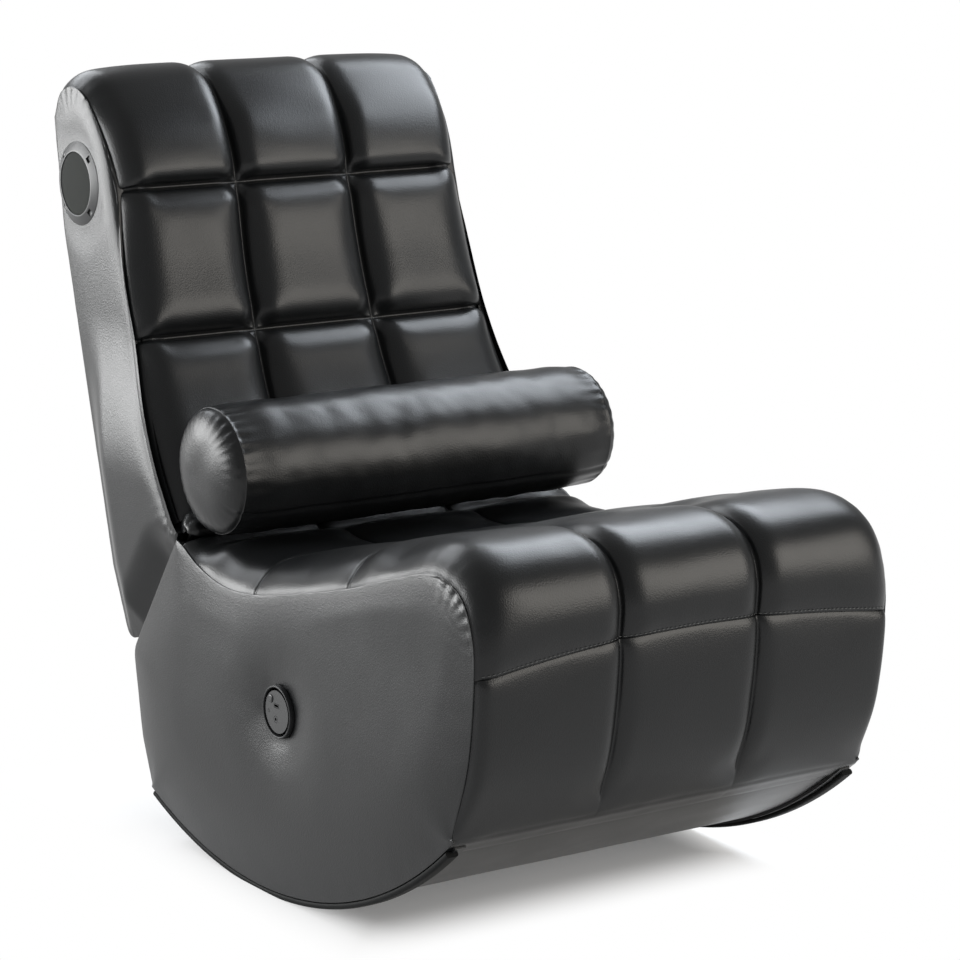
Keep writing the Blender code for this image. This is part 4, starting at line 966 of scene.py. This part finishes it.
def crease_strip(settings):
    """The soft fold of cover over the hinge line, which joins seat and back."""
    pivot = HINGE_AXIS
    x, angle = np.meshgrid(
        np.linspace(-CREASE_HALF, CREASE_HALF, 120), np.linspace(math.radians(205.0), math.radians(-25.0), 26))
    toward_back = eased(0.15 + 0.85 * np.cos(np.minimum(angle, math.pi)))
    radius = 0.0110 + 0.0125 * toward_back
    past = np.clip((np.abs(x) - (CREASE_HALF - CREASE_END)) / CREASE_END, 0.0, 1.0)
    radius = radius * np.sqrt(1.0 - 0.88 * past ** 2)
    wrinkle = cloudy(np.stack([x, 0.004 * angle, 0 * x], -1), 0.016, 14)
    radius = radius + 0.0007 * wrinkle * np.sin(np.clip(angle, 0.0, math.pi))
    obj = closed_pad("crease_cover", *(around(x, angle, r) + (0.0, *pivot) for r in (radius, 0.15 * radius)))
    obj.data.materials.clear()
    obj.data.materials.append(faux_leather(settings.colours))
    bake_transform(obj)


def covered_run(settings, name, line, body, nodes, half, puff, depth, seed):
    """A lightly padded cover that follows a side-view line from side to side."""
    x, along = np.meshgrid(stations([-half, half], 0.008), stations([0.0, line.length], 0.008))
    side_gap = half - np.abs(x)
    end_gap = np.minimum(along, line.length - along)
    swell = rounded_rise(side_gap, 0.05, 2.0) * rounded_rise(end_gap, 0.03, 2.0)
    out = puff * swell - 0.0015 * (1 - rounded_rise(side_gap, 0.006)) - 0.007 * (1 - rounded_rise(end_gap, 0.03))
    points = room(x, line.beside(along, out))
    points = raised(points, 0.0006 * cloudy(points, 0.08, seed) * swell)
    inner = room(x * 0.985, line.beside(along, -depth))
    obj = closed_pad(name, points, inner)
    return upholstered(settings, obj, body, nodes)


def bolster(settings):
    """The loose neck roll: a slack tube with gathered, bulging end caps, as one padded piece."""
    sizes = settings.sizes
    middle = bolster_axis()
    seam = BOLSTER_SEAM_X
    turns = np.linspace(0.0, 2 * math.pi, 161)
    turn, x = np.meshgrid(turns, stations([-seam, seam], 0.0055))
    gap = seam - np.abs(x)
    radius = BOLSTER_R - 0.004 * (1 - rounded_rise(gap, 0.045, 2.0)) + 0.0008 * np.sin(2 * turn + 3.0 * x)
    points = around(x, turn, radius) + (0.0, *middle)
    points = settled(points[:, ::-1], (gap < SEWN)[:, ::-1], sizes, cap=0.002, spare=0.001, soften=8)[:, ::-1]
    points[:, -1] = points[:, 0]
    # Slack in the roll shows as shallow folds that run round it, slightly askew.
    streaks = cloudy(around(x + 0.012 * turn, turn, 0.022), 0.024, 7)
    creases = cloudy(around(x - 0.02 * turn, turn, 0.03), 0.011, 8)
    detail = (0.0012 * streaks + 0.0003 * creases) * eased(gap / 0.02)
    fold = 0.35 + 0.65 * eased(0.5 + cloudy(around(x, turn), 0.6, 21))
    detail += 1.8 * fold * gathers(0.8 * BOLSTER_R * turn, gap, 0.009, sizes, 6.0)
    closing = np.abs((turn - 3.75 + math.pi) % (2 * math.pi) - math.pi) * BOLSTER_R
    detail += thread_line(closing, 0.0016)
    points = points + around(0 * x, turn) * detail[..., None]
    points[:, -1] = points[:, 0]
    caps = []
    for sign in (-1, 1):
        rim = points[0 if sign < 0 else -1, :-1]
        shares = np.concatenate([np.linspace(0.995, 0.90, 6), np.linspace(0.86, 0.04, 22)])
        spread = (rim[:, 1:] - middle)[None] * shares[:, None, None] + middle
        angle = turns[:-1][None] + 0 * shares[:, None]
        rise = 0.017 * (1 - shares ** 3.2)[:, None] ** 0.62 + 0 * angle
        away_from_rim = BOLSTER_R * (1 - shares)[:, None]
        slack = 0.25 + 0.75 * eased(0.5 + cloudy(around(0 * angle + sign, angle), 0.5, 22))
        upper = 0.35 + 0.65 * eased(0.5 + 0.6 * np.sin(angle))
        upper = upper * eased((0.028 - away_from_rim) / 0.016)
        puckers = gathers(0.8 * BOLSTER_R * angle, away_from_rim, 0.010, sizes, 6.0 + sign)
        rise = rise + 2.7 * upper * slack * puckers
        over_end = np.stack([0 * angle + sign, spread[..., 0], spread[..., 1]], -1)
        rise = rise + 0.0009 * cloudy(over_end, 0.03, 23) * (1 - shares ** 4)[:, None]
        rise = rise - 0.0024 * np.exp(-(away_from_rim / 0.0016) ** 2)
        caps.append(np.stack([sign * (seam + rise), spread[..., 0], spread[..., 1]], -1))
    rings = np.concatenate([caps[0][::-1], points[:, :-1], caps[1]])
    count, sides = rings.shape[:2]
    index = np.arange(count * sides).reshape(count, sides)
    after = np.roll(index, -1, axis=1)
    faces = np.stack([index[:-1], after[:-1], after[1:], index[1:]], -1).reshape(-1, 4).tolist()
    ends = [cap[-1].mean(0)[None] for cap in caps]
    total = count * sides
    faces += [[total, int(after[0, k]), int(index[0, k])] for k in range(sides)]
    faces += [[total + 1, int(index[-1, k]), int(after[-1, k])] for k in range(sides)]
    obj = new_object("bolster_cover", np.vstack([rings.reshape(-1, 3), *ends]), faces)
    face_outward(obj)
    subdivided(obj)
    nodes = ["bolster_roll", "bolster_cap_left", "bolster_cap_right"]
    return upholstered(settings, obj, "bolster", nodes)


# Trim and fittings, modelled with mesh operators

def select_faces(obj, test):
    """Selects the faces whose normal passes a test, in edit mode."""
    work = bmesh.from_edit_mesh(obj.data)
    work.select_mode = {"FACE"}
    for face in work.faces:
        face.select_set(False)
    for face in work.faces:
        face.select_set(test(face.normal))
    work.select_flush_mode()
    bmesh.update_edit_mesh(obj.data)


def rocker_rail(settings, side, sign):
    """An extruded edge channel: its section is drawn once and spun along the rocker."""
    width = RAIL_X[1] - RAIL_X[0]
    middle = HINGE_Y + ROCKER_Y
    height = ROCKER_R * math.cos(ROCKER_FLAT)
    obj = primitive(bpy.ops.mesh.primitive_plane_add, size=1.0, location=(0.0, 0.0, 0.0),
                    rotation=(math.pi / 2, 0.0, 0.0))
    obj.name = obj.data.name = "rocker_trim_" + side
    obj.scale = (width, RAIL_SHOWN, 1.0)
    obj.location = (sign * sum(RAIL_X) / 2, middle, height - ROCKER_R + RAIL_SHOWN / 2)
    bpy.ops.object.transform_apply(location=True, rotation=True, scale=True)
    bpy.ops.object.mode_set(mode="EDIT")
    bpy.ops.mesh.select_all(action="SELECT")
    bpy.ops.mesh.bevel(offset=0.0024, segments=4, affect="VERTICES")
    bpy.ops.mesh.select_all(action="SELECT")
    bpy.ops.transform.rotate(
        value=-ROCKER_REAR + RAIL_END, orient_axis="X", center_override=(sign * sum(RAIL_X) / 2, middle, height))
    bpy.ops.mesh.spin(
        steps=66, angle=ROCKER_REAR + ROCKER_FRONT - RAIL_END - RAIL_FRONT_END, center=(0.0, middle, height),
        axis=(1.0, 0.0, 0.0))
    bpy.ops.object.mode_set(mode="OBJECT")
    for vert in obj.data.vertices:
        vert.co.z = max(vert.co.z, 0.0)
    cap_open_ends(obj)
    face_outward(obj)
    smooth_by_angle(obj, 40.0)
    trim = moulded("extruded_trim", settings.colours.trim, 0.55, 0.6, 0.12, 0.08)
    return finished(obj, "base", trim, ["rocker_rail_" + side])


def cap_open_ends(obj):
    """Closes the open ends of a spun section."""
    pick(obj)
    bpy.ops.object.mode_set(mode="EDIT")
    bpy.ops.mesh.select_all(action="SELECT")
    bpy.ops.mesh.fill_holes(sides=0)
    bpy.ops.object.mode_set(mode="OBJECT")


def underside(settings):
    """The cover that closes the base between the rails."""
    angles = np.linspace(-ROCKER_REAR + 0.01, ROCKER_FRONT - 0.001, 90)
    rises = UNDERSIDE_RISE + (RAIL_H - UNDERSIDE_RISE) * eased((angles - ROCKER_FRONT + 0.06) / 0.06)
    line = SideLine([rocker(angle, rise) for angle, rise in zip(angles, rises)], smooth=False)
    x, along = np.meshgrid(np.linspace(-UNDERSIDE_HALF, UNDERSIDE_HALF, 50), np.linspace(0, line.length, 70))
    points = room(x, line.at(along))
    ripple = 0.0008 * cloudy(points, 0.07, 9)
    points[..., 2] += np.abs(ripple)
    inner = room(x, line.beside(along, -0.003))
    obj = closed_pad("underside_cover", points, inner)
    return upholstered(settings, obj, "base", ["bottom_panel"])


def bezel_ring(name, x, point, sign, radius, top, hole, height, sunk, edge):
    """A moulded ring that narrows to its top: a drum with its mouth inset and sunk, and its edges bevelled."""
    obj = primitive(
        bpy.ops.mesh.primitive_cone_add, vertices=96, radius1=radius, radius2=top, depth=height,
        location=(x + sign * height / 2, HINGE_Y + point[0], point[1]), rotation=(0.0, sign * math.pi / 2, 0.0))
    obj.name = obj.data.name = name
    bpy.ops.object.transform_apply(location=True, rotation=True, scale=True)
    bpy.ops.object.mode_set(mode="EDIT")
    select_faces(obj, lambda normal: normal.x * sign > 0.99)
    bpy.ops.mesh.inset(thickness=top - hole)
    bpy.ops.mesh.extrude_region_shrink_fatten(TRANSFORM_OT_shrink_fatten={"value": -sunk})
    bpy.ops.object.mode_set(mode="OBJECT")
    apply_step(obj, "BEVEL", width=edge, segments=3, limit_method="ANGLE", angle_limit=math.radians(20.0))
    smooth_by_angle(obj)
    return obj


def speaker_trim(settings, side, sign):
    """Sloping bezel with four clip notches, and a cloth disc stretched over its mouth."""
    x = sign * (BACK_HALF + 0.0002)
    bezel = bezel_ring("speaker_trim_" + side, x, SPEAKER, sign, radius=0.041, top=0.0318, hole=0.0305,
                       height=0.0036, sunk=0.0020, edge=0.0006)
    for quarter in range(4):
        turn = math.pi / 4 + quarter * math.pi / 2
        notch = primitive(
            bpy.ops.mesh.primitive_cube_add, size=1.0, rotation=(turn, 0.0, 0.0),
            location=(x + sign * 0.0028, HINGE_Y + SPEAKER[0] + NOTCHES_AT * math.cos(turn),
                      SPEAKER[1] + NOTCHES_AT * math.sin(turn)))
        notch.scale = (0.0044, 0.0050, 0.0068)
        apply_step(notch, "BEVEL", width=0.0006, segments=2)
        apply_step(bezel, "BOOLEAN", operation="DIFFERENCE", object=notch, solver="EXACT")
        bpy.data.objects.remove(notch, do_unlink=True)
    smooth_by_angle(bezel)
    finished(bezel, "back", moulding(settings.colours), ["speaker_bezel_" + side])
    grille = primitive(
        bpy.ops.mesh.primitive_uv_sphere_add, segments=96, ring_count=48, radius=SPEAKER_CLOTH_R,
        location=(x + sign * 0.0025, HINGE_Y + SPEAKER[0], SPEAKER[1]), rotation=(0.0, math.pi / 2, 0.0))
    grille.name = grille.data.name = "speaker_cloth_" + side
    grille.scale = (1.0, 1.0, 0.05)
    bpy.ops.object.transform_apply(location=True, rotation=True, scale=True)
    bpy.ops.object.mode_set(mode="EDIT")
    bpy.ops.mesh.select_all(action="SELECT")
    bpy.ops.mesh.bisect(
        plane_co=(x + sign * 0.0015, 0.0, 0.0), plane_no=(sign, 0.0, 0.0), clear_inner=True, use_fill=True)
    bpy.ops.object.mode_set(mode="OBJECT")
    smooth_by_angle(grille)
    finished(grille, "back", grille_cloth(settings.colours), ["speaker_grille_" + side])


def control_trim(settings):
    """The control panel's rim."""
    x = -(BASE_HALF + 0.0002)
    rim = bezel_ring("control_trim", x, CONTROL, -1, radius=0.0245, top=0.0240, hole=0.0222,
                     height=0.0051, sunk=0.0049, edge=0.0011)
    # Bored through, so that the button can move behind it.
    cut_hole(rim, -BASE_HALF, CONTROL, CONTROL_BORE)
    smooth_by_angle(rim)
    finished(rim, "base", moulded("satin_abs", settings.colours.moulding, 0.5, 0.7, 0.15, 0.3),
             ["control_bezel"])


def stitch_row(name, places, ups, settings, body):
    """A row of stitches: one is modelled, and copied along a line of places with its surface's normals."""
    sizes = settings.sizes
    model = primitive(bpy.ops.mesh.primitive_uv_sphere_add, segments=8, ring_count=6, radius=0.5)
    model.scale = (sizes.stitch_length, 0.0006, 0.0006)
    bpy.ops.object.transform_apply(location=True, rotation=True, scale=True)
    shape = np.array([tuple(vert.co) for vert in model.data.vertices])
    faces = [list(face.vertices) for face in model.data.polygons]
    bpy.data.objects.remove(model, do_unlink=True)
    marks = run_marks(places)
    points, polygons = [], []
    for number in range(int(marks[-1] / sizes.stitch_pitch)):
        mark = (number + 0.5) * sizes.stitch_pitch
        at = read_row(mark, marks, places)
        ahead = read_row(mark + 0.001, marks, places) - at
        up = read_row(mark, marks, ups)
        ahead = ahead / np.linalg.norm(ahead)
        side = np.cross(up, ahead)
        side = side / np.linalg.norm(side)
        basis = np.stack([ahead, side, np.cross(ahead, side)])
        polygons += [[index + len(points) * len(shape) for index in face] for face in faces]
        points.append(shape @ basis + at)
    obj = new_object(name, np.vstack(points), polygons)
    obj.data.shade_smooth()
    thread = moulded("polyester_thread", settings.colours.thread, 0.55, 0.4, 0.3)
    return finished(obj, body, thread, [])


def front_stitching(settings):
    """Stitches just above and along the arched seam across the front."""
    x = np.linspace(-SEAT_HALF + 0.004, SEAT_HALF - 0.004, 200)
    along = SEAM_D + 0.0036 + 0 * x
    slid = along + seam_slide(x, along)
    out = seat_crown(x, along) + settings.sizes.seat_puff * seat_swell(x, along)
    places = room(x, BASE_LINE.beside(slid, out + 0.0004))
    normal = BASE_LINE.outward(slid)
    ups = np.stack([0 * x, normal[:, 0], normal[:, 1]], -1)
    stitch_row("front_stitching", places, ups, settings, "base")


def dress_frame_nodes(settings):
    """Gives each CAD node that still shows a finish for its slot."""
    colours = settings.colours
    finishes = {
        "plywood": banded("birch_plywood", "#c9a878", "#a98355", 14.0, 0.62, "X"),
        "hardboard": banded("pressed_hardboard", "#6d4a30", "#54371f", 3.0, 0.75, "Y"),
        "lining": woven("black_lining", "#141516", 0.6, 0.9),
        "black_plastic": moulding(colours),
        "grille_cloth": grille_cloth(colours),
        "cone_paper": banded("pressed_cone_paper", "#1d1c1b", "#141312", 1.2, 0.9, "Z"),
        "zinc_steel": plated_steel(),
        "ferrite": moulded("sintered_ferrite", "#2b2c2e", 0.6, 0.5, 0.25),
        "black_rubber": moulded("moulded_rubber", "#101010", 0.75, 0.8, 0.2),
        "circuit_board": moulded("coated_board", "#10572f", 0.45, 1.5, 0.05),
        "led_lens": lamp_lens(),
        "leatherette": faux_leather(colours),
    }
    slots = {node: row["slot"] for row in frame["record"]["materials"] for node in row.get("nodes", [])}
    for name, obj in frame["nodes"].items():
        finish = finishes[slots.get(name, "black_plastic")]
        obj.data.materials.clear()
        obj.data.materials.append(finish)


# Studio

def build_stage(settings):
    """Floor, world, lamps and camera of a plain studio."""
    studio = settings.studio
    scene = bpy.context.scene
    floor = primitive(bpy.ops.mesh.primitive_plane_add, size=80.0, location=(0.0, 0.0, 0.0))
    floor.name = floor.data.name = "studio_floor"
    material, tree, shader, place = blank_material("studio_paper")
    set_inputs(shader, {"Base Color": linear("#f8f8f8"), "Roughness": 0.9, "Specular IOR Level": 0.1})
    # Away from the chair the paper is white by itself, for what the camera and gloss see; near it, it is lit.
    rays = add_node(tree, "ShaderNodeLightPath")
    gloss = add_node(tree, "ShaderNodeMath", {"operation": "MAXIMUM"},
                     {0: (rays, "Is Glossy Ray"), 1: (rays, "Is Transmission Ray")})
    open_floor = outside_box(tree, place, (0.17, 0.27), (0.15, 0.255), (0.16, 0.45))
    seen = add_node(tree, "ShaderNodeMath", {"operation": "MULTIPLY"},
                    {0: (open_floor, "Value"), 1: (rays, "Is Camera Ray")})
    open_floor = outside_box(tree, place, (0.20, 0.32), (0.34, 0.46), (0.16, 0.45))
    share = add_node(tree, "ShaderNodeMath", {"operation": "MULTIPLY_ADD"},
                     {0: (open_floor, "Value"), 1: (gloss, "Value"), 2: (seen, "Value")})
    white = add_node(tree, "ShaderNodeEmission", {"Strength": 1.0})
    mix = add_node(tree, "ShaderNodeMixShader", {},
                   {0: (share, "Value"), 1: (shader, "BSDF"), 2: (white, "Emission")})
    tree.links.new(mix.outputs["Shader"], tree.nodes["Material Output"].inputs["Surface"])
    floor.data.materials.append(material)

    world = bpy.data.worlds.new("studio_air")
    scene.world = world
    world.use_nodes = True
    set_inputs(world.node_tree.nodes["Background"], {"Color": linear("#ffffff"), "Strength": 0.4})

    # Place, target, width, height, colour and watts
    softbox("softbox_rear_left", (-2.22, 1.86, 0.80), (0.0, 0.0, 0.3), 2.8, 1.2, "#fdfefe", 130.0)
    softbox("softbox_rear_over", (-0.35, 2.1, 1.95), (0.0, 0.0, 0.35), 2.0, 1.1, "#f6faff", 34.0)
    softbox("softbox_right_over", (0.68, 0.18, 1.15), (0.68, 0.18, 0.0), 0.64, 0.85, "#f0f7ff", 15.0)
    softbox("softbox_front_right", (1.0, -1.65, 0.95), (0.0, 0.0, 0.45), 1.3, 1.1, "#fffaf2", 23.0)

    camera = bpy.data.objects.new("photo_camera", bpy.data.cameras.new("photo_camera"))
    scene.collection.objects.link(camera)
    camera.location = studio.camera_at
    camera.rotation_euler = Vector(studio.camera_ahead).to_track_quat("-Z", "Y").to_euler()
    camera.data.lens = studio.lens
    camera.data.sensor_width = 36.0
    camera.data.clip_end = 50.0
    scene.camera = camera
    scene.view_settings.view_transform = "Standard"


def outside_box(tree, place, sides, front, rear):
    """Nodes for a share of 1 outside a box on the floor, each of whose borders fades over a (from, to) range."""
    axes = add_node(tree, "ShaderNodeSeparateXYZ", {}, {"Vector": (place, "Object")})
    across = add_node(tree, "ShaderNodeMath", {"operation": "ABSOLUTE"}, {0: (axes, "X")})
    ahead = add_node(tree, "ShaderNodeMath", {"operation": "MULTIPLY", 1: -1.0}, {0: (axes, "Y")})
    fades = [
        add_node(tree, "ShaderNodeMapRange", {
            "interpolation_type": "SMOOTHSTEP", "From Min": ends[0], "From Max": ends[1], "To Min": 0.15},
            {"Value": (source, output)})
        for source, output, ends in ((across, "Value", sides), (ahead, "Value", front), (axes, "Y", rear))
    ]
    wider = add_node(tree, "ShaderNodeMath", {"operation": "MAXIMUM"},
                     {0: (fades[0], "Result"), 1: (fades[1], "Result")})
    return add_node(tree, "ShaderNodeMath", {"operation": "MAXIMUM"},
                    {0: (wider, "Value"), 1: (fades[2], "Result")})


def softbox(name, place, target, width, height, colour, watts):
    """A large rectangular lamp that faces a point."""
    light = bpy.data.lights.new(name, "AREA")
    light.color = linear(colour)[:3]
    light.shape = "RECTANGLE"
    light.size, light.size_y = width, height
    light.energy = watts
    lamp = bpy.data.objects.new(name, light)
    bpy.context.scene.collection.objects.link(lamp)
    lamp.location = place
    lamp.rotation_euler = (Vector(target) - Vector(place)).to_track_quat("-Z", "Y").to_euler()


# Operators

class ChairStep(bpy.types.Operator):
    """One step of dressing the chair"""
    bl_idname = "chair.step"
    bl_label = "Step"
    bl_options = {"REGISTER"}

    def make(self, settings):
        raise NotImplementedError

    def execute(self, context):
        self.make(context.scene.floor_rocker)
        return {"FINISHED"}


class CHAIR_OT_back_cushion(ChairStep):
    """Quilted cushion over the front and head of the back"""
    bl_idname = "chair.back_cushion"
    bl_label = "Back cushion"

    def make(self, settings):
        back_cushion(settings)


class CHAIR_OT_back_covers(ChairStep):
    """Side gussets and rear cover of the back"""
    bl_idname = "chair.back_covers"
    bl_label = "Back covers"

    def make(self, settings):
        for side, sign in SIDES:
            back_gusset(settings, side, sign)
        covered_run(settings, "back_rear_cover", HEEL_LINE, "back", ["back_cover"],
                    half=BACK_HALF - 0.001, puff=0.004, depth=0.002, seed=11)


class CHAIR_OT_seat(ChairStep):
    """Seat cushion with its roll, and the front panel with its stitched seam"""
    bl_idname = "chair.seat"
    bl_label = "Seat and front"

    def make(self, settings):
        seat_cushion(settings)
        front_panel(settings)
        front_stitching(settings)


class CHAIR_OT_base_covers(ChairStep):
    """Padded sides, rear cover and underside of the base"""
    bl_idname = "chair.base_covers"
    bl_label = "Base covers"

    def make(self, settings):
        for side, sign in SIDES:
            side_panel(settings, side, sign)
        covered_run(settings, "base_rear_cover", REAR_LINE, "base", ["rear_cover"],
                    half=SEAT_HALF, puff=0.003, depth=0.003, seed=12)
        underside(settings)
        crease_strip(settings)


class CHAIR_OT_bolster(ChairStep):
    """Loose bolster"""
    bl_idname = "chair.bolster"
    bl_label = "Bolster"

    def make(self, settings):
        bolster(settings)


class CHAIR_OT_rails(ChairStep):
    """Rocker rails"""
    bl_idname = "chair.rails"
    bl_label = "Rocker rails"

    def make(self, settings):
        for side, sign in SIDES:
            rocker_rail(settings, side, sign)


class CHAIR_OT_fittings(ChairStep):
    """Speaker trim and control panel"""
    bl_idname = "chair.fittings"
    bl_label = "Speakers and control panel"

    def make(self, settings):
        for side, sign in SIDES:
            speaker_trim(settings, side, sign)
        control_trim(settings)


class CHAIR_OT_frame_finishes(ChairStep):
    """Finishes of the frame's own pieces"""
    bl_idname = "chair.frame_finishes"
    bl_label = "Frame finishes"

    def make(self, settings):
        dress_frame_nodes(settings)


class CHAIR_OT_stage(ChairStep):
    """Floor, light and camera"""
    bl_idname = "chair.stage"
    bl_label = "Studio"

    def make(self, settings):
        build_stage(settings)


STEPS = (
    CHAIR_OT_stage, CHAIR_OT_frame_finishes, CHAIR_OT_back_cushion, CHAIR_OT_back_covers, CHAIR_OT_seat,
    CHAIR_OT_base_covers, CHAIR_OT_bolster, CHAIR_OT_rails, CHAIR_OT_fittings,
)


class CHAIR_PT_steps(bpy.types.Panel):
    """Lists the steps and settings"""
    bl_idname = "CHAIR_PT_steps"
    bl_label = "Floor Rocker"
    bl_space_type = "VIEW_3D"
    bl_region_type = "UI"
    bl_category = "Floor Rocker"

    def draw(self, context):
        settings = context.scene.floor_rocker
        for step in STEPS:
            self.layout.operator(step.bl_idname)
        for group in (settings.sizes, settings.colours, settings.studio):
            box = self.layout.box()
            for key in group.__annotations__:
                box.prop(group, key)


CLASSES = (UpholsterySizes, FinishColours, StudioSettings, ChairSettings, *STEPS, CHAIR_PT_steps)


def register():
    for item in CLASSES:
        bpy.utils.register_class(item)
    bpy.types.Scene.floor_rocker = PointerProperty(type=ChairSettings)


def unregister():
    del bpy.types.Scene.floor_rocker
    for item in reversed(CLASSES):
        bpy.utils.unregister_class(item)


def main():
    register()
    for step in STEPS:
        group, name = step.bl_idname.split(".")
        getattr(getattr(bpy.ops, group), name)()


if __name__ == "__main__":
    main()
